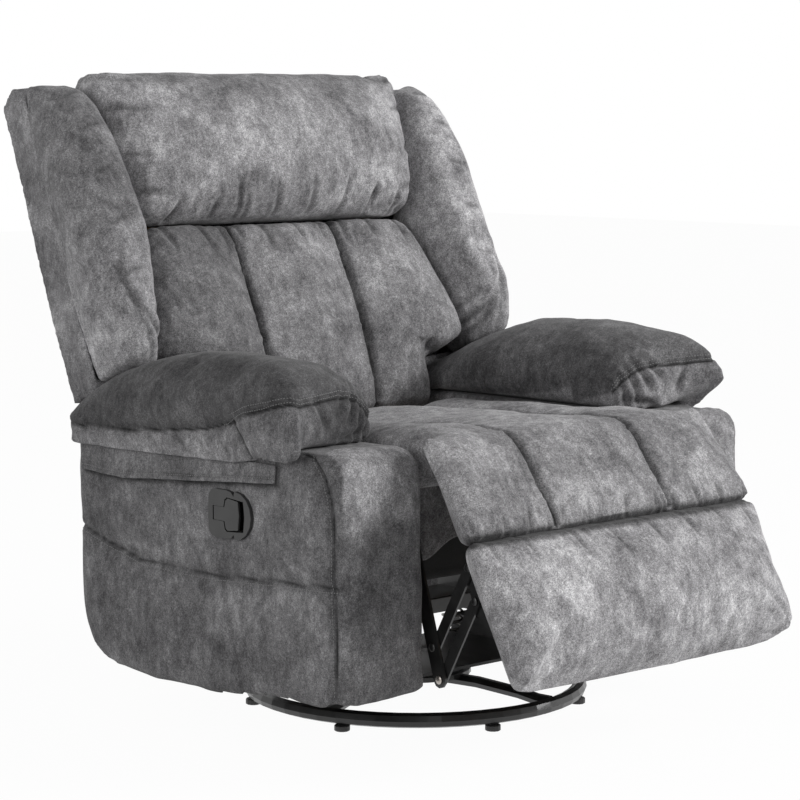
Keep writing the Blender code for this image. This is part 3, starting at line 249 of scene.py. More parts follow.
def black_steel_finish():
    material, tree, shader = finish_named("black_painted_steel")
    space = object_space(tree)
    wear = cloud(tree, space, 22.0, 8.0, 0.62)
    peel = cloud(tree, space, 420.0, 2.0, 0.5)
    tree.links.new(ramp(tree, wear, ((0.38, grey(24)), (0.72, grey(44)))), shader.inputs["Base Color"])
    gloss = add(tree, "ShaderNodeMapRange")
    put(gloss, To_Min=0.28, To_Max=0.5)
    tree.links.new(wear, gloss.inputs["Value"])
    tree.links.new(gloss.outputs["Result"], shader.inputs["Roughness"])
    put(shader, Metallic=0.25, Coat_Weight=0.25)
    raised(tree, shader, peel, 0.12, 0.0004)
    return material


def plastic_finish():
    material, tree, shader = finish_named("dark_grained_plastic")
    grain = cloud(tree, object_space(tree), 1100.0, 2.0)
    tone = cloud(tree, object_space(tree), 30.0, 3.0)
    tree.links.new(ramp(tree, tone, ((0.3, grey(40)), (0.7, grey(50)))), shader.inputs["Base Color"])
    put(shader, Roughness=0.46)
    raised(tree, shader, grain, 0.25, 0.0003)
    return material


def pine_finish():
    material, tree, shader = finish_named("pine_board")
    rings = cloud(tree, object_space(tree, (2.0, 26.0, 26.0)), 2.2, 6.0, 0.6, 0.6)
    fibre = cloud(tree, object_space(tree, (3.0, 160.0, 160.0)), 3.0, 3.0)
    wood = ramp(tree, rings, ((0.3, (0.34, 0.2, 0.09, 1.0)), (0.7, (0.55, 0.37, 0.19, 1.0))))
    wood = blended(tree, "MULTIPLY", 0.5, wood, ramp(tree, fibre, ((0.3, grey(180)), (0.7, grey(255)))))
    tree.links.new(wood, shader.inputs["Base Color"])
    put(shader, Roughness=0.62)
    raised(tree, shader, fibre, 0.2, 0.0006)
    return material


suede = suede_finish()
thread = plain_finish("grey_thread", 900.0, 2.0, grey(104), grey(140), 0.7)
black_cloth = plain_finish("black_lining_cloth", 900.0, 3.0, grey(20), grey(38), 0.95, bump=(0.3, 0.0005))
black_steel = black_steel_finish()
spring_steel = plain_finish("oiled_spring_steel", 180.0, 4.0, grey(92, 3.0), grey(140, 2.0), 0.36, 0.95)
zinc = plain_finish("zinc_rivet", 500.0, 3.0, grey(150, 8.0), grey(196, 5.0), 0.34, 0.9)
plastic = plastic_finish()
pine = pine_finish()


# Shaping tools for the fabric


def merged_copy(name):
    mesh = nodes[name].data.copy()
    mesh.materials.clear()
    shape = bmesh.new()
    shape.from_mesh(mesh)
    bmesh.ops.remove_doubles(shape, verts=shape.verts, dist=0.00002)
    shape.to_mesh(mesh)
    shape.free()
    return mesh


def joined(meshes):
    shape = bmesh.new()
    for mesh in meshes:
        shape.from_mesh(mesh)
    mesh = bpy.data.meshes.new("joined_forms")
    shape.to_mesh(mesh)
    shape.free()
    return mesh


def sheet_of(name, rows, ring=False):
    """A skin over rows of points. With ring, each row is a closed loop and both ends are shut."""
    shape = bmesh.new()
    grid = [[shape.verts.new(point) for point in row] for row in rows]
    count = len(rows[0])
    for first, second in zip(grid[:-1], grid[1:]):
        for at in range(count if ring else count - 1):
            after = (at + 1) % count
            shape.faces.new((first[at], second[at], second[after], first[after]))
    if ring:
        shape.faces.new(grid[0])
        shape.faces.new(grid[-1][::-1])
    bmesh.ops.recalc_face_normals(shape, faces=shape.faces)
    mesh = bpy.data.meshes.new(name)
    shape.to_mesh(mesh)
    shape.free()
    return mesh


def piece_of(name, mesh, material):
    piece = bpy.data.objects.new(name, mesh)
    mesh.name = name
    mesh.materials.clear()
    mesh.materials.append(material)
    bpy.context.scene.collection.objects.link(piece)
    return piece


def baked(piece):
    graph = bpy.context.evaluated_depsgraph_get()
    mesh = bpy.data.meshes.new_from_object(piece.evaluated_get(graph), depsgraph=graph)
    piece.modifiers.clear()
    before = piece.data
    material = before.materials[0]
    piece.data = mesh
    bpy.data.meshes.remove(before)
    mesh.name = piece.name
    mesh.materials.clear()
    mesh.materials.append(material)
    return piece


def remeshed(piece, voxel):
    change = piece.modifiers.new("even_mesh", "REMESH")
    change.mode = "VOXEL"
    change.voxel_size = voxel
    change.use_smooth_shade = True
    return baked(piece)


def smoothed(piece, rounds):
    change = piece.modifiers.new("smooth", "SMOOTH")
    change.factor = 0.5
    change.iterations = rounds
    return baked(piece)


def thickened(piece, thickness):
    wall = piece.modifiers.new("cloth_thickness", "SOLIDIFY")
    wall.thickness = thickness
    wall.offset = 0.0
    return piece


def subdivided(piece):
    change = piece.modifiers.new("finer", "SUBSURF")
    change.levels = 1
    change.render_levels = 1
    return baked(piece)


def points_of(mesh):
    values = np.zeros(len(mesh.vertices) * 3)
    mesh.vertices.foreach_get("co", values)
    return values.reshape(-1, 3)


def outward_of(mesh):
    values = np.zeros(len(mesh.vertices) * 3)
    mesh.vertex_normals.foreach_get("vector", values)
    return values.reshape(-1, 3)


def place_points(mesh, points):
    mesh.vertices.foreach_set("co", points.astype(np.float32).ravel())
    mesh.update()


def ease(value, low, high):
    share = np.clip((value - low) / (high - low), 0.0, 1.0)
    return share * share * (3.0 - 2.0 * share)


def inflated(piece, held, shrink, cap):
    """Blows the piece up under cloth. held keeps a point in place, and cap is the most that a point moves."""
    mesh = piece.data
    start = points_of(mesh)
    start = start - outward_of(mesh) * (shrink * (1.0 - held))[:, None]
    place_points(mesh, start)
    group = piece.vertex_groups.new(name="held")
    for weight in np.unique(np.round(held, 2)):
        members = np.nonzero(np.abs(np.round(held, 2) - weight) < 0.001)[0]
        group.add([int(member) for member in members], float(weight), "REPLACE")
    change = piece.modifiers.new("filling", "CLOTH")
    cloth = change.settings
    cloth.quality = 4
    cloth.use_pressure = True
    cloth.uniform_pressure_force = PRESSURE
    cloth.vertex_group_mass = "held"
    cloth.effector_weights.gravity = 0.0
    cloth.bending_stiffness = 0.4
    change.collision_settings.use_collision = False
    change.point_cache.frame_start = 1
    change.point_cache.frame_end = 20
    stage_scene = bpy.context.scene
    for step in range(1, 21):
        stage_scene.frame_set(step)
    graph = bpy.context.evaluated_depsgraph_get()
    swollen = points_of(piece.evaluated_get(graph).to_mesh())
    piece.evaluated_get(graph).to_mesh_clear()
    piece.modifiers.clear()
    piece.vertex_groups.clear()
    stage_scene.frame_set(1)
    move = swollen - start
    length = np.linalg.norm(move, axis=1)
    share = np.minimum(1.0, cap / np.maximum(length, 1e-9))
    place_points(mesh, start + move * share[:, None])
    return piece


def nearest_on(line, points, axis):
    """Looking along axis: each point's gap to a sewn line, its place along it, and on which side it lies."""
    axis = np.asarray(axis, float) / np.linalg.norm(axis)
    flat = points - np.outer(points @ axis, axis)
    ends = np.asarray(line, float)
    ends = ends - np.outer(ends @ axis, axis)
    nearest = np.full(len(points), 9.0)
    place = np.zeros(len(points))
    side = np.zeros(len(points))
    run = 0.0
    for first, second in zip(ends[:-1], ends[1:]):
        step = second - first
        length = np.linalg.norm(step)
        share = np.clip((flat - first) @ step / length**2, 0.0, 1.0)
        gap = np.linalg.norm(flat - first - share[:, None] * step, axis=1)
        nearer = gap < nearest
        nearest = np.where(nearer, gap, nearest)
        place = np.where(nearer, run + share * length, place)
        side = np.where(nearer, np.sign(np.cross(step, flat - first) @ axis), side)
        run += length
    return nearest, place, side


def ripple(place, seed):
    chance = np.random.default_rng(seed)
    total = np.zeros(len(place))
    for wave in (0.013, 0.021, 0.034):
        length = wave * chance.uniform(0.85, 1.15)
        total += np.sin(2.0 * math.pi * place / length + chance.uniform(0.0, 6.28))
    swell = 0.6 + 0.4 * np.sin(2.0 * math.pi * place / 0.13 + chance.uniform(0.0, 6.28))
    return total * swell / 2.0


class Cloth:
    """The skin of one soft piece while its seams and folds are drawn in."""

    def __init__(self, piece):
        self.piece = piece
        self.points = points_of(piece.data)
        self.out = outward_of(piece.data)
        # Painted shade per point, and nap with painted light and shade per point
        self.painted_shade = np.zeros(len(self.points))
        self.nap_and_shade = np.zeros(len(self.points))

    def facing(self, axis, sharp=4.0):
        axis = np.asarray(axis, float) / np.linalg.norm(axis)
        return np.clip(self.out @ axis * sharp, 0.0, 1.0)

    def seam(self, line, axis, depth, width, pucker, reach, seed, shade=1.0, only=1.0):
        gap, place = nearest_on(line, self.points, axis)[:2]
        near = self.facing(axis) * only
        cut = depth * np.exp(-((gap / width) ** 2))
        fan = pucker * ripple(place, seed) * np.exp(-gap / reach) * ease(gap, 0.3 * width, 1.4 * width)
        self.points -= self.out * ((cut - fan) * near)[:, None]
        # Painted shade: a dark core in the seam's valley and a wide soft band of shade either side
        seam_shade = np.exp(-((gap / (0.55 * width)) ** 2))
        shade_halo = 0.32 * np.exp(-((gap / (2.6 * width)) ** 2))
        self.paint_shade(np.maximum(seam_shade, shade_halo) * near * shade)

    def fold(self, start, end, axis, depth, width):
        """One soft fold that dies out at both ends, with a low roll along each side and painted shade in its
        valley.
        """
        gap, place = nearest_on((start, end), self.points, axis)[:2]
        length = np.linalg.norm(np.asarray(end, float) - np.asarray(start, float))
        share = np.clip(place / length, 0.0, 1.0)
        fade = np.sqrt(np.clip(np.sin(math.pi * (0.06 + 0.88 * share)), 0.0, 1.0))
        near = self.facing(axis) * fade * np.exp(-np.maximum(gap - 5.0 * width, 0.0) / width)
        cut = np.exp(-((gap / width) ** 2))
        roll = 0.55 * np.exp(-(((gap - 2.1 * width) / (1.1 * width)) ** 2))
        self.points -= self.out * (depth * (cut - roll) * near)[:, None]
        self.paint_shade(0.5 * cut * near)

    def lumps(self, size, amount, seed, where):
        offset = Vector((13.1 * seed, 7.7 * seed, 3.3 * seed))
        height = np.array([noise.noise(Vector(point) / size + offset) for point in self.points])
        self.points += self.out * (height * where * amount)[:, None]

    def shift(self, way, amount, where):
        self.points += np.outer(amount * where, way)

    # Adds nap and painted light and shade: above nought darker, below nought lighter
    def brush(self, amount, where=1.0):
        self.nap_and_shade += amount * where

    # Paints shade into the colour where shade falls: seams, folds, gaps and under the hem
    def paint_shade(self, amount):
        self.painted_shade = np.maximum(self.painted_shade, amount)

    def relax(self, rounds, where):
        """Evens out the skin where it turns a corner."""
        mesh = self.piece.data
        ends = np.zeros(len(mesh.edges) * 2, dtype=np.int64)
        mesh.edges.foreach_get("vertices", ends)
        first, second = ends.reshape(-1, 2).T
        count = np.bincount(ends, minlength=len(self.points))[:, None]
        for _ in range(rounds):
            total = np.zeros_like(self.points)
            for axis in range(3):
                total[:, axis] = np.bincount(first, self.points[second, axis], len(total))
                total[:, axis] += np.bincount(second, self.points[first, axis], len(total))
            self.points += (total / count - self.points) * (0.6 * where)[:, None]
        self.refresh()

    def swell(self, amount, where):
        self.points += self.out * (amount * where)[:, None]

    def refresh(self):
        place_points(self.piece.data, self.points)
        self.out = outward_of(self.piece.data)

    def done(self):
        mesh = self.piece.data
        place_points(mesh, self.points)
        # Both painted values go onto the mesh for the cloth material
        for name, values in (("painted_shade", self.painted_shade), ("nap_and_shade", self.nap_and_shade)):
            layer = mesh.attributes.new(name, "FLOAT", "POINT")
            layer.data.foreach_set("value", np.clip(values, -1.0, 1.0).astype(np.float32))
        mesh.shade_smooth()
        return self.piece


def covered(name, node, voxel):
    return remeshed(piece_of(name, merged_copy(node), suede), voxel)


def filled(piece, held, cap, shrink=0.001):
    """The piece blown up where it isn't held, made finer and ready for its seams."""
    return Cloth(subdivided(inflated(piece, np.clip(held, 0.0, 1.0), shrink, cap)))


def upholstered(cloth, fill, body, *solids):
    """The finished cushion rides its body in place of the solids."""
    piece = cloth.done()
    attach(piece, body)
    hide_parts(*solids)
    return piece


class Slope:
    """A slanted face of the chair: across its width, along its run and out of it."""

    def __init__(self, start, run, out):
        self.start = np.array((0.0, start[0], start[1]))
        self.run = run
        self.out = out

    def space(self, points):
        away = points - self.start
        return points[:, 0], away @ self.run, away @ self.out

    def at(self, x, along):
        return np.array((x, 0.0, 0.0)) + self.start + along * self.run


back = Slope(BACK_FOOT, BACK_UP, BACK_OUT)
shin = Slope(CHAISE_END, SHIN_DOWN, SHIN_OUT)
chaise = Slope(POLE, CHAISE_DOWN, CHAISE_OUT)


# Seat and chaise, one skin that bends over the knee


def knee_filling():
    """A short filling between the seat and the chaise, so that one skin runs over both."""
    profile = ((-0.292, 0.491), (-0.330, 0.4985), (-0.3445, 0.487), (-0.338, 0.466), (-0.304, 0.462))
    stations = (-0.274, -0.205, -0.155, -0.128, -0.101, -0.05, 0.05, 0.101, 0.128, 0.155, 0.205, 0.274)
    rows = []
    for x in stations:
        dip = 0.017 * math.exp(-(((abs(x) - SEAT_SEAM) / 0.022) ** 2))
        drops = (dip, dip, dip, 0.0, 0.0)
        rows.append([(x, y + SHIFT + 0.4 * low, z - low) for (y, z), low in zip(profile, drops)])
    return sheet_of("knee_filling", rows, ring=True)


def seat_seam_line(x):
    seat = [(x, y + SHIFT, z) for y, z in ((0.17, 0.462), (0.05, 0.474), (-0.12, 0.484), (-0.28, 0.488))]
    knee = [tuple(chaise.at(x, down)) for down in (0.0, 0.05, 0.10, 0.15, CHAISE_LENGTH + 0.004)]
    return seat + knee


def seat_and_chaise():
    forms = [merged_copy("seat_cushion"), merged_copy("chaise_pad"), knee_filling()]
    piece = remeshed(piece_of("seat_and_chaise", joined(forms), suede), CUSHION_VOXEL)
    points = points_of(piece.data)
    x, down, out = chaise.space(points)
    over_seat = ease(points[:, 2], 0.435, 0.455) * (points[:, 1] > POLE[0] - 0.02)
    top = np.maximum(over_seat, ease(out, -0.02, -0.008))
    edge = ease(np.abs(x), 0.255, 0.268) * (points[:, 1] > ARM_FRONT - 0.004)
    seams = np.exp(-(((np.abs(x) - SEAT_SEAM) / 0.006) ** 2))
    end = ease(down, CHAISE_LENGTH - 0.014, CHAISE_LENGTH - 0.002)
    cloth = filled(piece, np.maximum.reduce((1.0 - top, edge, seams, end)), 0.022)
    axis = (0.0, -0.45, 0.89)
    from_pole = np.hypot(cloth.points[:, 1] - POLE[0], cloth.points[:, 2] - POLE[1])
    turn = (1.0 - ease(from_pole, 0.05, 0.12)) * ease(cloth.out[:, 2], -0.1, 0.3)
    cloth.relax(160, turn)
    cloth.swell(0.006, turn)
    cloth.refresh()
    x, down, out = chaise.space(cloth.points)
    end = ease(down, CHAISE_LENGTH - 0.04, CHAISE_LENGTH - 0.01)
    cloth.shift(SHIN_DOWN, 0.002, cloth.facing(SHIN_DOWN, 2.0) * end)
    knee = ease(-cloth.points[:, 1], 0.24, 0.36)
    # Nap and painted light: seat and chaise lighter than the base colour, the seat more so
    cloth.brush(NAP_AND_SHADE["seat"], 1.0 - knee)
    cloth.brush(NAP_AND_SHADE["chaise"], knee)
    cloth.points[:, 0] = cloth.points[:, 0] * (1.0 + 0.018 * ease(down, 0.06, 0.19)) + 0.002 * knee
    cloth.lumps(0.11, 0.005, 3, cloth.facing(axis))
    cloth.refresh()
    for number, x in enumerate((-SEAT_SEAM, SEAT_SEAM)):
        cloth.seam(seat_seam_line(x), axis, 0.008, 0.0055, 0.0016, 0.030, 11 + number)
    across = [tuple(chaise.at(x, CHAISE_LENGTH)) for x in np.linspace(-0.34, 0.34, 15)]
    cloth.seam(across, CHAISE_OUT, 0.0025, 0.0060, 0.0018, 0.030, 15, 0.8)
    for x in (-0.305, -0.24, -0.19, -0.135, -0.118, -0.06, 0.02, 0.09, 0.116, 0.139, 0.20, 0.25, 0.31):
        length = 0.028 + 0.020 * abs(math.sin(40.0 * x))
        lean = 0.010 * math.sin(90.0 * x)
        end = CHAISE_LENGTH + 0.004
        cloth.fold(chaise.at(x, end), chaise.at(x + lean, end - length), CHAISE_OUT, 0.0026, 0.0042)
    cloth.refresh()
    cloth.lumps(0.03, 0.0011, 8, cloth.facing(axis))
    x, down, out = chaise.space(cloth.points)
    # Painted shade in the gap between chaise and shin: the chaise's face towards the shin darkened
    cloth.paint_shade(0.9 * cloth.facing(SHIN_DOWN, 1.6) * ease(down, CHAISE_LENGTH - 0.03, CHAISE_LENGTH))
    piece = cloth.done()
    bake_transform(piece)
    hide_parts("seat_cushion", "chaise_pad")
    return piece


def shin_cushion():
    piece = covered("shin_cushion", "shin_pad", CUSHION_VOXEL)
    x, down, out = shin.space(points_of(piece.data))
    held = np.maximum(1.0 - ease(out, -0.045, -0.028), 1.0 - ease(down, 0.006, 0.016))
    cloth = filled(piece, held, 0.016)
    front = cloth.facing(SHIN_OUT)
    x, down, out = shin.space(cloth.points)
    cloth.shift(-SHIN_DOWN, 0.002, cloth.facing(-SHIN_DOWN, 2.0) * (1.0 - ease(down, 0.02, 0.04)))
    cloth.points[:, 0] = cloth.points[:, 0] * 1.020 + 0.003 + 0.009 * ease(down, 0.0, 0.20)
    # Nap and painted light: the shin pad lighter than the base colour
    cloth.brush(NAP_AND_SHADE["shin"])
    cloth.lumps(0.13, 0.005, 5, front)
    cloth.lumps(0.035, 0.0014, 9, front)
    cloth.refresh()
    line = [tuple(shin.at(x, 0.002)) for x in np.linspace(-0.33, 0.33, 13)]
    cloth.seam(line, SHIN_OUT, 0.002, 0.005, 0.0020, 0.035, 21, 0.9)
    for x in (-0.29, -0.22, -0.12, -0.04, 0.05, 0.13, 0.21, 0.28):
        length = 0.035 + 0.025 * abs(math.sin(31.0 * x))
        cloth.fold(shin.at(x, 0.002), shin.at(x + 0.008, length), SHIN_OUT, 0.0018, 0.005)
    x, down, out = shin.space(cloth.points)
    # Painted shade in the gap under the chaise: the shin's top face darkened
    cloth.paint_shade(0.9 * cloth.facing(-SHIN_DOWN, 1.6) * (1.0 - ease(down, 0.008, 0.022)))
    return upholstered(cloth, 0.6, "footrest", "shin_pad")


# Back cushions


def head_pillow():
    piece = covered("head_pillow", "headrest", CUSHION_VOXEL)
    x, up, out = back.space(points_of(piece.data))
    cloth = filled(piece, 1.0 - ease(out, -0.035, -0.012), 0.022)
    front = cloth.facing(BACK_OUT)
    cloth.swell(0.004, cloth.facing((1.0, 0.0, 0.0), 2.0) + cloth.facing((-1.0, 0.0, 0.0), 2.0))
    cloth.swell(0.0025, ease(cloth.out[:, 2], 0.45, 0.85))
    # Nap and painted light and shade: the headrest lighter overall, its upward faces darker
    cloth.brush(NAP_AND_SHADE["head"])
    cloth.brush(NAP_AND_SHADE["head_top"], ease(cloth.out[:, 2], 0.45, 0.85))
    cloth.lumps(0.12, 0.006, 2, front)
    cloth.refresh()
    for x in (-0.25, -0.17, -0.115, -0.10, -0.03, 0.05, 0.12, 0.19, 0.26):
        length = 0.026 + 0.026 * abs(math.sin(37.0 * x))
        lean = 0.012 * math.sin(71.0 * x)
        top = back.at(x + lean, HEAD_SEAM + length)
        cloth.fold(back.at(x, HEAD_SEAM), top, BACK_OUT, 0.0032, 0.0050)
    for side in (-1.0, 1.0):
        for up, reach in ((0.40, 0.05), (0.47, 0.04), (0.55, 0.06), (0.61, 0.07)):
            edge = side * (0.306 + 0.17 * max(0.0, up - 0.353))
            inner = back.at(edge - side * reach, up - 0.015)
            cloth.fold(back.at(edge, up), inner, BACK_OUT, 0.0018, 0.0055)
    cloth.refresh()
    cloth.lumps(0.032, 0.0013, 7, front)
    return upholstered(cloth, 0.6, "back", "headrest")


def channel_cushion():
    piece = covered("channel_cushion", "back_channels", CUSHION_VOXEL)
    x, up, out = back.space(points_of(piece.data))
    seams = np.exp(-(((np.abs(x) - CHANNEL_SEAM) / 0.006) ** 2))
    held = np.maximum.reduce((1.0 - ease(out, -0.035, -0.012), seams, ease(up, 0.335, 0.348)))
    cloth = filled(piece, held, 0.022)
    front = cloth.facing(BACK_OUT)
    cloth.swell(0.004, cloth.facing((1.0, 0.0, 0.0), 2.0) + cloth.facing((-1.0, 0.0, 0.0), 2.0))
    x, up, out = back.space(cloth.points)
    cloth.points[:, 0] *= 1.0 + 0.012 * ease(np.abs(x), 0.16, 0.255) * (1.0 - ease(up, 0.085, 0.11))
    shoulder = ease(np.abs(x), 0.250, 0.262) * (1.0 - ease(np.abs(x), 0.285, 0.340))
    cloth.shift(-BACK_UP, 0.012, shoulder * ease(up, 0.07, 0.09) * (1.0 - ease(up, 0.108, 0.160)))
    # Painted shade beside the right wing: the right channel darker than the middle one
    cloth.brush(NAP_AND_SHADE["channel_right"], ease(-x, 0.105, 0.130))
    cloth.lumps(0.12, 0.005, 4, front)
    cloth.refresh()
    for number, side in enumerate((-1.0, 1.0)):
        line = [tuple(back.at(side * CHANNEL_SEAM, up)) for up in np.linspace(-0.02, 0.353, 9)]
        cloth.seam(line, BACK_OUT, 0.008, 0.0055, 0.0014, 0.032, 31 + number)
    for x in (-0.27, -0.19, -0.14, -0.10, -0.05, 0.03, 0.09, 0.14, 0.20, 0.27):
        length = 0.03 + 0.03 * abs(math.sin(29.0 * x))
        cloth.fold(back.at(x, 0.35), back.at(x * 0.97, 0.35 - length), BACK_OUT, 0.0026, 0.005)
    cloth.refresh()
    cloth.lumps(0.032, 0.0012, 6, front)
    return upholstered(cloth, 0.6, "back", "back_channels")


def wing_cushion(side, word):
    node = "back_wing_" + word
    piece = covered("wing_cushion_" + word, node, CUSHION_VOXEL)
    x, up, out = back.space(points_of(piece.data))
    cloth = filled(piece, 1.0 - ease(out, -0.045, -0.020), 0.016)
    front = cloth.facing(BACK_OUT)
    cloth.swell(0.004, cloth.facing((-side, 0.0, 0.0), 2.0))
    x, up, out = back.space(cloth.points)
    lowered = 0.006 if side < 0 else 0.010
    cloth.shift(-BACK_UP, lowered, ease(up, 0.55, 0.605) * (1.0 - ease(np.abs(x), 0.39, 0.435)))
    middle = ease(up, 0.10, 0.25) * (1.0 - ease(up, 0.52, 0.60))
    cloth.swell(0.006, cloth.facing((side, 0.0, 0.0), 2.0) * middle)
    cloth.shift(-BACK_UP, 0.010, cloth.facing(-BACK_UP, 2.0) * (1.0 - ease(up, 0.12, 0.16)))
    # Nap and painted light and shade: each wing's foot and upper part get their own values, different on each
    # side
    nap_and_shade = NAP_AND_SHADE_RIGHT if side < 0 else NAP_AND_SHADE_LEFT
    low = 1.0 - ease(up, 0.22, 0.40)
    cloth.brush(nap_and_shade["wing_foot"], low)
    cloth.brush(nap_and_shade["wing_top"], 1.0 - low)
    cloth.lumps(0.10, 0.005, 12, front)
    cloth.refresh()
    for start, end in (((0.300, 0.112), (0.372, 0.175)), ((0.330, 0.108), (0.395, 0.160)),
                       ((0.362, 0.106), (0.415, 0.190)), ((0.395, 0.106), (0.425, 0.215)),
                       ((0.415, 0.130), (0.432, 0.260))):
        foot = back.at(side * start[0], start[1])
        cloth.fold(foot, back.at(side * end[0], end[1]), BACK_OUT, 0.0042, 0.006)
    for up in (0.24, 0.33, 0.42, 0.5, 0.57):
        inner = back.at(side * 0.385, up + 0.012)
        cloth.fold(back.at(side * 0.425, up), inner, BACK_OUT, 0.002, 0.005)
    cloth.refresh()
    cloth.lumps(0.03, 0.0012, 14, front)
    return upholstered(cloth, 0.6, "back", node)


def back_cover():
    cloth = Cloth(smoothed(covered("back_cover", "back_shell", PANEL_VOXEL), 3))
    x, up, out = back.space(cloth.points)
    rear = cloth.facing(-BACK_OUT) * (out < -0.08)
    cloth.shift(-BACK_OUT, 0.009, (1.0 - ease(out, -0.112, -0.085)) * (1.0 - ease(up, 0.22, 0.52)))
    shelf = cloth.facing(-BACK_UP, 2.0) * (up > 0.05) * (up < 0.14)
    cloth.shift(-BACK_UP, 0.012, ease(np.abs(x), 0.265, 0.285) * shelf)
    # Nap and painted shade: the back cover a little darker
    cloth.brush(NAP_AND_SHADE["back"])
    cloth.lumps(0.14, 0.004, 16, rear)
    cloth.refresh()
    corners = ((-0.425, 0.10), (-0.425, 0.588), (0.425, 0.588), (0.425, 0.10))
    border = [back.at(across, up) for across, up in corners]
    cloth.seam(border, -BACK_OUT, 0.0022, 0.0045, 0.0014, 0.028, 71, 0.8, out < -0.08)
    cloth.refresh()
    cloth.lumps(0.03, 0.001, 18, rear)
    return upholstered(cloth, 0.5, "back", "back_shell")


# Arms


# Sewn lines: along and up, or across, along and up
SIDE_SEAM = ((0.341, 0.306), (0.264, 0.285), (0.166, 0.266), (0.067, 0.264), (-0.028, 0.267), (-0.147, 0.275),
             (-0.310, 0.284))
FRONT_SEAM = ((-0.226, 0.482), (-0.256, 0.476), (-0.283, 0.447), (-0.294, 0.417), (-0.302, 0.382),
              (-0.3035, 0.283), (-0.309, 0.117))
PAD_SEAM = ((0.350, 0.482), (0.330, 0.476), (0.195, 0.479), (0.066, 0.490), (-0.027, 0.500), (-0.092, 0.517))
PAD_FRONT = ((PAD_SIDE, -0.092, 0.517), (PAD_SIDE, -0.175, 0.541), (0.462, -0.248, 0.560),
             (0.410, -0.244, 0.566), (0.365, -0.232, 0.567), (0.330, -0.222, 0.560), (0.300, -0.210, 0.540),
             (0.276, -0.198, 0.511))
PAD_CORNER = ((PAD_SIDE, -0.094, 0.516), (PAD_SIDE, -0.116, 0.495), (0.474, -0.136, 0.462))


def line_on(side, run, across=ARM_SIDE):
    """The run on one arm. Places without a width of their own lie at across."""
    return [(side * (place[0] if len(place) > 2 else across), place[-2] + SHIFT, place[-1]) for place in run]


def arm_panel(side, word):
    node = "arm_cover_" + word
    cloth = Cloth(smoothed(covered("arm_upholstery_" + word, node, PANEL_VOXEL), 2))
    outer = cloth.facing((side, 0.0, 0.0)) * (np.abs(cloth.points[:, 0]) > 0.44)
    front = cloth.facing((0.0, -1.0, 0.25)) * (cloth.points[:, 1] < -0.27)
    y, z = cloth.points[:, 1], cloth.points[:, 2]
    side_gap = nearest_on(line_on(side, SIDE_SEAM), cloth.points, (1.0, 0.0, 0.0))[0]
    front_gap = nearest_on(line_on(side, FRONT_SEAM), cloth.points, (1.0, 0.0, 0.0))[0]
    away = ease(side_gap, 0.0, 0.05) * ease(front_gap, 0.0, 0.04) * ease(0.34 - y, 0.0, 0.05)
    handle = 1.0
    if side < 0:
        handle = ease(np.maximum(np.abs(y - HANDLE[0]) / 0.075, np.abs(z - HANDLE[1]) / 0.062), 0.95, 1.5)
    width = np.clip((np.abs(cloth.points[:, 0]) - ARM_INNER) / (ARM_SIDE - ARM_INNER), 0.0, 1.0)
    cloth.shift(DOWN, 0.005, width * (1.0 - ease(z, 0.11, 0.26)) * (1.0 - ease(y, -0.30, -0.20)))
    cloth.shift(DOWN, 0.005, cloth.facing(DOWN, 2.0) * (z < 0.25))
    # Nap and painted light and shade: the arm front darker lower down where shade falls, lighter on its top
    # roll; the sides their own value
    ahead = NAP_AND_SHADE["arm_front"] + (NAP_AND_SHADE["arm_front_top"] - NAP_AND_SHADE["arm_front"]) * ease(z, 0.34, 0.42)
    cloth.nap_and_shade = np.where(front > outer, ahead, NAP_AND_SHADE["arm_side"])
    cloth.swell(0.006, outer * away * handle)
    x = np.abs(cloth.points[:, 0])
    cloth.swell(0.005, front * ease(x, 0.285, 0.315) * (1.0 - ease(x, 0.425, 0.452)))
    cloth.lumps(0.12, 0.005, 20 + side, np.maximum(outer * handle, front))
    cloth.refresh()
    cloth.seam(line_on(side, SIDE_SEAM), (side, 0.0, 0.0), 0.0040, 0.0055, 0.0016, 0.03, 41, 0.85, outer)
    # Painted shadow under the flap: the panel darkened along the flap's front and lower edge
    start = FLAP_FRONT - 0.002
    hem = [(side * ARM_SIDE, y, flap_low_edge(y) - 0.002) for y in np.linspace(start, FLAP_REAR, 20)]
    gap = nearest_on([(side * ARM_SIDE, start, FLAP_TOP - 0.002)] + hem, cloth.points, (1.0, 0.0, 0.0))[0]
    cloth.paint_shade(0.85 * np.exp(-((gap / 0.006) ** 2)) * outer)
    cloth.seam(line_on(side, FRONT_SEAM), (side, -0.35, 0.0), 0.0035, 0.0052, 0.0012, 0.025, 43, 1.0)
    cloth.refresh()
    cloth.lumps(0.032, 0.0012, 22 + side, np.maximum(outer * handle, front))
    return upholstered(cloth, 0.5, "chassis", node)


def pad_front_axis(side):
    return (0.25 * side, -0.85, 0.45)


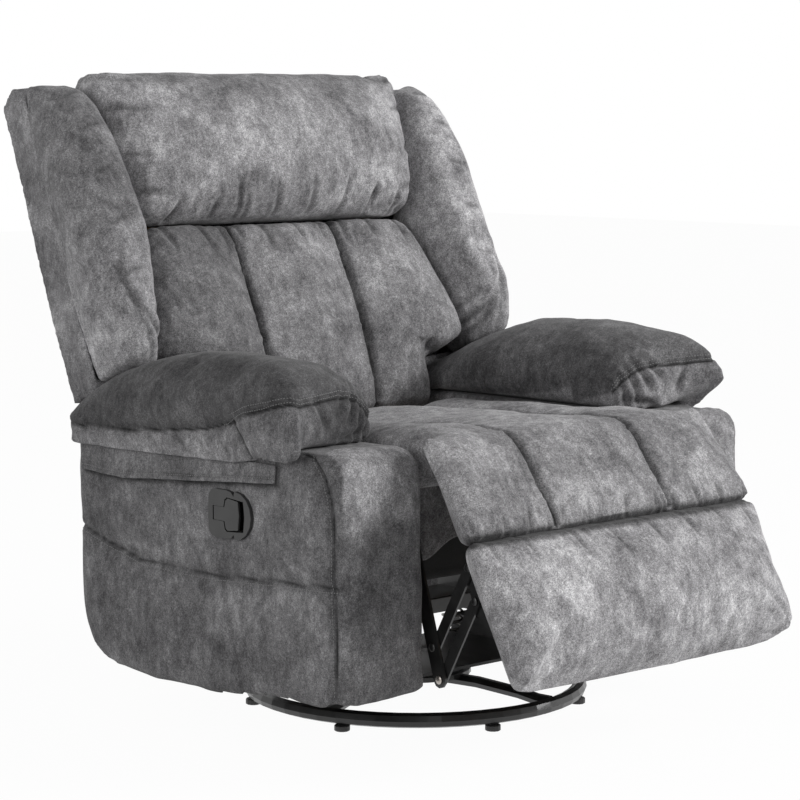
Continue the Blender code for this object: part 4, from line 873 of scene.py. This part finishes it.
def arm_pillow(side, word):
    node = "arm_pad_" + word
    piece = covered("arm_pillow_" + word, node, CUSHION_VOXEL)
    points = points_of(piece.data)
    out = outward_of(piece.data)
    under = ease(-out[:, 2], 0.3, 0.7) * (points[:, 2] < 0.50)
    gap = nearest_on(line_on(side, PAD_SEAM, PAD_SIDE), points, (1.0, 0.0, 0.0))[0]
    seam = np.exp(-((gap / 0.007) ** 2)) * (out[:, 0] * side > 0.3)
    cloth = filled(piece, np.maximum(under, seam), 0.014, 0.002)
    x, y, z = np.abs(cloth.points[:, 0]), cloth.points[:, 1] - SHIFT, cloth.points[:, 2]
    cloth.swell(0.006, ease(y, 0.26, 0.34))
    hang = np.interp(y, (-0.16, -0.09, 0.10, 0.22, 0.31), (0.0, 0.5, 0.75, 0.85, 0.75))
    cloth.shift(DOWN, 0.022, hang * ease(x, 0.452, 0.466) * (1.0 - ease(z, 0.462, 0.492)))
    end = ease(x, 0.39, 0.46) * ease(y, 0.27, 0.34)
    cloth.shift((0.0, -1.0, 0.1), 0.016, end * (1.0 - ease(z, 0.455, 0.485)))
    cloth.shift((0.0, -1.0, 0.2), 0.013, end * (1.0 - ease(z, 0.490, 0.560)))
    if side > 0:
        corner = ease(x, 0.37, 0.46) * (1.0 - ease(y, -0.24, -0.13))
        cloth.shift((0.30, -1.0, 0.30), 0.026, corner * ease(z, 0.485, 0.53))
        cloth.shift((0.0, 1.0, 0.35), 0.022, corner * (1.0 - ease(z, 0.475, 0.525)))
        cloth.relax(24, corner)
    if side < 0:
        middle = ease(y, -0.17, -0.06) * (1.0 - ease(y, 0.19, 0.27))
        cloth.shift(DOWN, 0.008, ease(cloth.out[:, 2], 0.1, 0.6) * middle)
    cloth.lumps(0.11, 0.004, 30 + side, 1.0 - ease(-cloth.out[:, 2], 0.2, 0.6))
    cloth.refresh()
    outer = (side, 0.0, 0.0)
    cloth.seam(line_on(side, PAD_SEAM, PAD_SIDE), outer, 0.0036, 0.0055, 0.0013, 0.022, 51, 1.0)
    ahead = pad_front_axis(side)
    cloth.seam(line_on(side, PAD_FRONT), ahead, 0.0040, 0.0052, 0.0014, 0.024, 53, 1.0)
    cloth.seam(line_on(side, PAD_CORNER), (side, -0.5, 0.0), 0.0028, 0.0040, 0.0010, 0.02, 55, 0.9)
    for start, end in (((0.300, 0.560), (0.322, 0.490)), ((0.315, 0.566), (0.345, 0.515)),
                       ((0.288, 0.545), (0.300, 0.478)), ((0.345, 0.560), (0.372, 0.530)),
                       ((0.42, 0.556), (0.40, 0.51)), ((0.30, 0.500), (0.36, 0.488))):
        first = (side * start[0], -0.21 + SHIFT, start[1])
        last = (side * end[0], -0.21 + SHIFT, end[1])
        cloth.fold(first, last, (-0.2 * side, -1.0, 0.1), 0.0045, 0.0062)
    for y in (-0.06, 0.0, 0.05, 0.13, 0.22):
        cloth.fold((side * 0.474, y, 0.487), (side * 0.474, y - 0.03, 0.462), outer, 0.0022, 0.005)
    cloth.refresh()
    y = cloth.points[:, 1] - SHIFT
    gap, _, turn = nearest_on(line_on(side, PAD_FRONT), cloth.points, ahead)
    over = ease(-side * gap * turn, -0.004, 0.006)
    level = np.interp(y, (-0.092, -0.027, 0.066, 0.195, 0.33), (0.517, 0.500, 0.490, 0.479, 0.476))
    above = ease(cloth.points[:, 2] - level, -0.003, 0.004)
    ahead_of_seam = ease(-y, 0.088, 0.096)
    top_share = np.where(y > -0.092, above, over)
    low_share = (1.0 - top_share) * ahead_of_seam
    # Nap and painted light and shade: pad top, front and side each their own value, the front's value
    # strongest towards its inner end
    nap_and_shade = NAP_AND_SHADE_RIGHT if side < 0 else NAP_AND_SHADE_LEFT
    cloth.brush(nap_and_shade["pad_top"], top_share)
    inward = ease(0.475 - np.abs(cloth.points[:, 0]), 0.0, 0.11)
    cloth.brush(nap_and_shade["pad_front"], low_share * (0.25 + 0.75 * inward))
    cloth.brush(nap_and_shade["pad_side"], (1.0 - top_share) * (1.0 - ahead_of_seam))
    cloth.lumps(0.03, 0.0012, 33 + side, 1.0 - ease(-cloth.out[:, 2], 0.2, 0.6))
    return upholstered(cloth, 0.6, "chassis", node)


def flap_low_edge(y):
    return np.interp(y - SHIFT, (-0.180, 0.196, 0.315), (0.4295, 0.3995, 0.402))


def flap_hem_line(side, count):
    run = np.linspace(FLAP_HEM_FRONT, FLAP_REAR, count)
    return [(side * 0.46, y, flap_low_edge(y) + FLAP_HEM) for y in run]


def flap_at(side, y, z):
    wave = 0.0022 * math.sin(34.0 * y + 1.1) + 0.0014 * math.sin(81.0 * y)
    hang = max(0.0, FLAP_TOP - z) / 0.05
    return Vector((side * (ARM_SIDE + 0.0080 + hang * (0.0045 + wave)), y, z))


def arm_cloth_flap(side, word):
    """A thin hem that hangs from under the pillow, open along its lower edge."""
    rows = []
    for y in np.linspace(FLAP_FRONT, FLAP_REAR, 100):
        rows.append([flap_at(side, y, z) for z in np.linspace(flap_low_edge(y), FLAP_TOP, 12)])
    piece = thickened(piece_of("arm_hem_flap_" + word, sheet_of("flap", rows), suede), 0.0042)
    edge = piece.modifiers.new("turned_edge", "BEVEL")
    edge.width = 0.0018
    edge.segments = 2
    edge.limit_method = "ANGLE"
    cloth = Cloth(baked(piece))
    cloth.seam(flap_hem_line(side, 30), (side, 0.0, 0.0), 0.0010, 0.0025, 0.0006, 0.012, 61, 0.5)
    # Nap and painted shade: the hem flap darker
    cloth.brush(NAP_AND_SHADE["flap"])
    piece = cloth.done()
    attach(piece, "chassis")
    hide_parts("arm_flap_" + word)
    return piece


# Stitches, laid along lines on the finished skins


def ball_tree(name, sizes, segments, rings, stretch):
    """A node tree that lays a ball, stretched by named sizes, on points that its caller links."""
    tree = bpy.data.node_groups.new(name, "GeometryNodeTree")
    face = tree.interface
    face.new_socket("Geometry", in_out="INPUT", socket_type="NodeSocketGeometry")
    for label, value in sizes:
        socket = face.new_socket(label, in_out="INPUT", socket_type="NodeSocketFloat")
        socket.default_value = value
    face.new_socket("Finish", in_out="INPUT", socket_type="NodeSocketMaterial")
    face.new_socket("Geometry", in_out="OUTPUT", socket_type="NodeSocketGeometry")
    link = tree.links.new
    given = add(tree, "NodeGroupInput")
    result = add(tree, "NodeGroupOutput")
    ball = add(tree, "GeometryNodeMeshUVSphere")
    put(ball, Segments=segments, Rings=rings, Radius=1.0)
    shape = add(tree, "ShaderNodeCombineXYZ")
    sized = add(tree, "GeometryNodeTransform")
    laid = add(tree, "GeometryNodeInstanceOnPoints")
    solid = add(tree, "GeometryNodeRealizeInstances")
    coat = add(tree, "GeometryNodeSetMaterial")
    for axis, label in zip("XYZ", stretch):
        link(given.outputs[label], shape.inputs[axis])
    link(ball.outputs["Mesh"], sized.inputs["Geometry"])
    link(shape.outputs["Vector"], sized.inputs["Scale"])
    link(sized.outputs["Geometry"], laid.inputs["Instance"])
    link(laid.outputs["Instances"], solid.inputs["Geometry"])
    link(solid.outputs["Geometry"], coat.inputs["Geometry"])
    link(given.outputs["Finish"], coat.inputs["Material"])
    link(coat.outputs["Geometry"], result.inputs["Geometry"])
    return tree, given, laid


def stitch_tree():
    """Long beads of thread along a path, at an even pitch."""
    sizes = (("Pitch", STITCH_PITCH), ("Half length", STITCH_LENGTH / 2), ("Radius", STITCH_RADIUS))
    stretch = ("Radius", "Radius", "Half length")
    tree, given, laid = ball_tree("stitch_row", sizes, 6, 4, stretch)
    link = tree.links.new
    path = add(tree, "GeometryNodeMeshToCurve")
    spaced = add(tree, "GeometryNodeResampleCurve", mode="LENGTH")
    tangent = add(tree, "GeometryNodeInputTangent")
    turn = add(tree, "FunctionNodeAlignRotationToVector", axis="Z")
    link(given.outputs["Geometry"], path.inputs["Mesh"])
    link(path.outputs["Curve"], spaced.inputs["Curve"])
    link(given.outputs["Pitch"], spaced.inputs["Length"])
    link(spaced.outputs["Curve"], laid.inputs["Points"])
    link(tangent.outputs["Tangent"], turn.inputs["Vector"])
    link(turn.outputs["Rotation"], laid.inputs["Rotation"])
    return tree


def rivet_tree():
    """Flat domes on points, facing sideways."""
    sizes = (("Radius", RIVET_RADIUS), ("Height", RIVET_HEIGHT))
    tree, given, laid = ball_tree("rivet_heads", sizes, 24, 12, ("Height", "Radius", "Radius"))
    tree.links.new(given.outputs["Geometry"], laid.inputs["Points"])
    return tree


def set_input(change, name, value):
    for item in change.node_group.interface.items_tree:
        if item.item_type == "SOCKET" and item.in_out == "INPUT" and item.name == name:
            change[item.identifier] = value


def grown(piece, tree, finish, body):
    """The piece's points or paths turned into what the tree lays on them, as one plain mesh on its body."""
    change = piece.modifiers.new("laid_on_points", "NODES")
    change.node_group = tree
    set_input(change, "Finish", finish)
    piece = baked(piece)
    piece.data.shade_smooth()
    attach(piece, body)


def laid_on(skin, line, axis, step=0.004):
    """The line dropped along axis onto the skin, a little proud of it."""
    axis = Vector(axis).normalized()
    found = []
    for first, second in zip(line[:-1], line[1:]):
        first, second = Vector(first), Vector(second)
        count = max(1, int((second - first).length / step))
        for number in range(count):
            point = first.lerp(second, number / count)
            spot, out = skin.ray_cast(point + 0.06 * axis, -axis, 0.12)[:2]
            if spot is not None:
                found.append(spot + 0.0002 * out)
    return found


def skin_of(piece):
    mesh = piece.data
    corners = [vertex.co for vertex in mesh.vertices]
    return BVHTree.FromPolygons(corners, [face.vertices for face in mesh.polygons])


def sewn(name, rows, body):
    shape = bmesh.new()
    for row in rows:
        corners = [shape.verts.new(point) for point in row]
        for first, second in zip(corners[:-1], corners[1:]):
            shape.edges.new((first, second))
    mesh = bpy.data.meshes.new(name)
    shape.to_mesh(mesh)
    shape.free()
    grown(piece_of(name, mesh, thread), stitches, thread, body)


def shifted(line, dy, dz):
    return [(x, y + dy, z + dz) for x, y, z in line]


stitches = stitch_tree()

seat_and_chaise()
shin_cushion()
head_pillow()
channel_cushion()
back_cover()
for side, word in ((-1.0, "right"), (1.0, "left")):
    wing_cushion(side, word)
    panel = arm_panel(side, word)
    pillow = arm_pillow(side, word)
    flap = arm_cloth_flap(side, word)
    pillow_skin = skin_of(pillow)
    rows = [laid_on(pillow_skin, shifted(line_on(side, PAD_FRONT), 0.0, above), pad_front_axis(side))
            for above in (0.0055, 0.0125)]
    sewn("arm_pillow_stitches_" + word, rows, "chassis")
    outward = (side, 0.0, 0.0)
    corner = flap_low_edge(FLAP_HEM_FRONT) + FLAP_HEM
    upright = [(side * 0.46, FLAP_HEM_FRONT, z) for z in np.linspace(FLAP_TOP - 0.003, corner, 6)]
    flap_skin = skin_of(flap)
    rows = [laid_on(flap_skin, line, outward) for line in (flap_hem_line(side, 60), upright)]
    sewn("arm_flap_stitches_" + word, rows, "chassis")
    panel_skin = skin_of(panel)
    front_row = laid_on(panel_skin, shifted(line_on(side, FRONT_SEAM), 0.006, 0.0), (side, -0.1, 0.0))
    side_row = laid_on(panel_skin, shifted(line_on(side, SIDE_SEAM), 0.0, -0.0065), outward)
    sewn("arm_panel_stitches_" + word, [front_row, side_row], "chassis")


# Lining cloth and rivet heads of the linkage


def front_cloth(name, material, ahead, low_edge, lift, top):
    """Cloth over the front of the seat frame and round its corners. lift raises its hem in the middle."""
    side = FRONT_CLOTH_HALF
    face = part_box("seat_frame")[0].y - ahead
    path = [(-side - ahead / 4, face + back) for back in (0.030, 0.015, 0.004)]
    path += [(x, face) for x in np.linspace(-side + 0.002, side - 0.002, 70)]
    path += [(side + ahead / 4, face + back) for back in (0.004, 0.015, 0.030)]
    rows = []
    for x, y in path:
        foot = low_edge + lift * (1.0 - ease(abs(x), 0.170, 0.243))
        row = []
        for z in np.linspace(foot, top, 30):
            slack = 0.0006 * math.sin(47.0 * x + 9.0 * z) + 0.0004 * math.sin(131.0 * x)
            hem = 0.0013 * math.exp(-(((z - foot - 0.008) / 0.005) ** 2))
            flare = 1.0 + 0.07 * ease(z, 0.392, 0.425)
            row.append((x * flare, y - slack - hem, z))
        rows.append(row)
    cloth = Cloth(baked(thickened(piece_of(name, sheet_of(name, rows), material), 0.0012)))
    # Nap and painted shade: the front cloths darker
    cloth.brush(NAP_AND_SHADE["apron"])
    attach(cloth.done(), "seat")


def rivet_heads(name, spots, body, finish):
    mesh = bpy.data.meshes.new(name)
    mesh.from_pydata(spots, [], [])
    grown(piece_of(name, mesh, finish), rivets, finish, body)


rivets = rivet_tree()
front_cloth("seat_front_lining", black_cloth, 0.0026, 0.2655, 0.0, 0.398)
front_cloth("seat_front_apron", suede, 0.0050, 0.297, 0.030, 0.436)
for side, word in ((-1.0, "right"), (1.0, "left")):
    front, rear = [[(side * KNEE_RIVET_FACE, y, z)] for y, z in KNEE_RIVETS]
    rivet_heads("knee_rivet_front_" + word, front, "seat_link", zinc)
    rivet_heads("knee_rivet_rear_" + word, rear, "seat_link", black_steel)
    foot = [(side * FOOT_RIVET_FACE, y, z) for y, z in FOOT_RIVETS]
    rivet_heads("foot_rivets_" + word, foot, "footrest", black_steel)


# Rocker springs, bent between the swivel plate and the rocking chassis


def rocker_coil(node):
    piece = piece_of(node.replace("rocker_spring", "rocker_coil"), merged_copy(node), spring_steel)
    piece.data.shade_smooth()
    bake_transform(piece)
    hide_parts(node)


for end in ("front", "rear"):
    for word in ("right", "left"):
        rocker_coil("rocker_spring_%s_%s" % (end, word))


# Finishes of the rigid pieces that are shown as they are


def rigid_finish(name):
    if name.startswith(("handle_bezel", "release_paddle", "floor_glide")):
        return plastic
    if name.startswith("seat_spring"):
        return spring_steel
    if name.startswith(("arm_frame", "seat_frame", "back_frame", "footrest_board")):
        return pine
    return black_steel


for name, node in nodes.items():
    if not node.hide_render:
        node.data.materials.clear()
        node.data.materials.append(rigid_finish(name))


# Studio

FLOOR_REACH = 14.0
FLOOR_WHITE = 0.965
WORLD_LIGHT = 0.42
CAMERA_AROUND = math.radians(43.1)
CAMERA_YAW = math.radians(42.69)
CAMERA_DIP = math.radians(6.5)
CAMERA_REACH = 4.335
CAMERA_HEIGHT = 1.0
SENSOR = 36.0
FOCAL_SHARE = 2600.0 / 800.0
LIGHT_AIM = (0.0, 0.0, 0.5)


def seen_share(tree):
    """One for what the camera, a mirror or a glass sees, and nought for light that falls on the chair."""
    path = add(tree, "ShaderNodeLightPath")
    seen = arithmetic(tree, "MAXIMUM", path.outputs["Is Camera Ray"], path.outputs["Is Glossy Ray"])
    return arithmetic(tree, "MAXIMUM", seen, path.outputs["Is Transmission Ray"])


def either(tree, share, first, second, output):
    both = add(tree, "ShaderNodeMixShader")
    for socket, source in enumerate((share, first.outputs[0], second.outputs[0])):
        tree.links.new(source, both.inputs[socket])
    tree.links.new(both.outputs[0], output.inputs["Surface"])


def lit(tree, kind, strength):
    node = add(tree, kind)
    put(node, Color=(1.0, 1.0, 1.0, 1.0), Strength=strength)
    return node


def studio_floor():
    mesh = bpy.data.meshes.new("studio_floor")
    reach = FLOOR_REACH
    corners = [(-reach, -reach, 0.0), (reach, -reach, 0.0), (reach, reach, 0.0), (-reach, reach, 0.0)]
    mesh.from_pydata(corners, [], [(0, 1, 2, 3)])
    floor = bpy.data.objects.new("studio_floor", mesh)
    bpy.context.scene.collection.objects.link(floor)
    material = bpy.data.materials.new("pale_floor")
    material.use_nodes = True
    tree = material.node_tree
    tree.nodes.clear()
    output = add(tree, "ShaderNodeOutputMaterial")
    matt = add(tree, "ShaderNodeBsdfDiffuse")
    put(matt, Color=(0.86, 0.86, 0.86, 1.0))
    glow = lit(tree, "ShaderNodeEmission", 1.0)
    share = arithmetic(tree, "MULTIPLY", seen_share(tree), FLOOR_WHITE)
    either(tree, share, matt, glow, output)
    mesh.materials.append(material)


def studio_world():
    world = bpy.data.worlds.new("white_studio")
    world.use_nodes = True
    tree = world.node_tree
    tree.nodes.clear()
    output = add(tree, "ShaderNodeOutputWorld")
    soft = lit(tree, "ShaderNodeBackground", WORLD_LIGHT)
    white = lit(tree, "ShaderNodeBackground", 1.0)
    either(tree, seen_share(tree), soft, white, output)
    bpy.context.scene.world = world


def soft_box(name, place, aim, width, power):
    lamp = bpy.data.lights.new(name, "AREA")
    lamp.shape = "RECTANGLE"
    lamp.size = width
    lamp.size_y = width
    lamp.energy = power
    light = bpy.data.objects.new(name, lamp)
    light.location = place
    light.rotation_euler = (Vector(aim) - Vector(place)).to_track_quat("-Z", "Y").to_euler()
    bpy.context.scene.collection.objects.link(light)


def photo_camera():
    yaw, dip = CAMERA_YAW, CAMERA_DIP
    ahead = Vector((math.sin(yaw) * math.cos(dip), math.cos(yaw) * math.cos(dip), -math.sin(dip)))
    right = Vector((math.cos(yaw), -math.sin(yaw), 0.0))
    up = right.cross(ahead)
    lens = bpy.data.cameras.new("studio_camera")
    lens.sensor_width = SENSOR
    lens.lens = SENSOR * FOCAL_SHARE
    lens.clip_end = 60.0
    camera = bpy.data.objects.new("studio_camera", lens)
    turned = Matrix((right, up, -ahead)).transposed().to_4x4()
    along, aside = CAMERA_REACH * math.cos(CAMERA_AROUND), CAMERA_REACH * math.sin(CAMERA_AROUND)
    turned.translation = (-aside, -along + SHIFT, CAMERA_HEIGHT)
    camera.matrix_world = turned
    bpy.context.scene.collection.objects.link(camera)
    bpy.context.scene.camera = camera


studio_floor()
studio_world()
soft_box("key_soft_box", (3.1, -3.2, 2.3), LIGHT_AIM, 1.9, 180.0)
soft_box("side_soft_box", (-4.2, -0.6, 2.0), LIGHT_AIM, 2.2, 44.0)
photo_camera()
bpy.context.scene.view_settings.view_transform = "Standard"
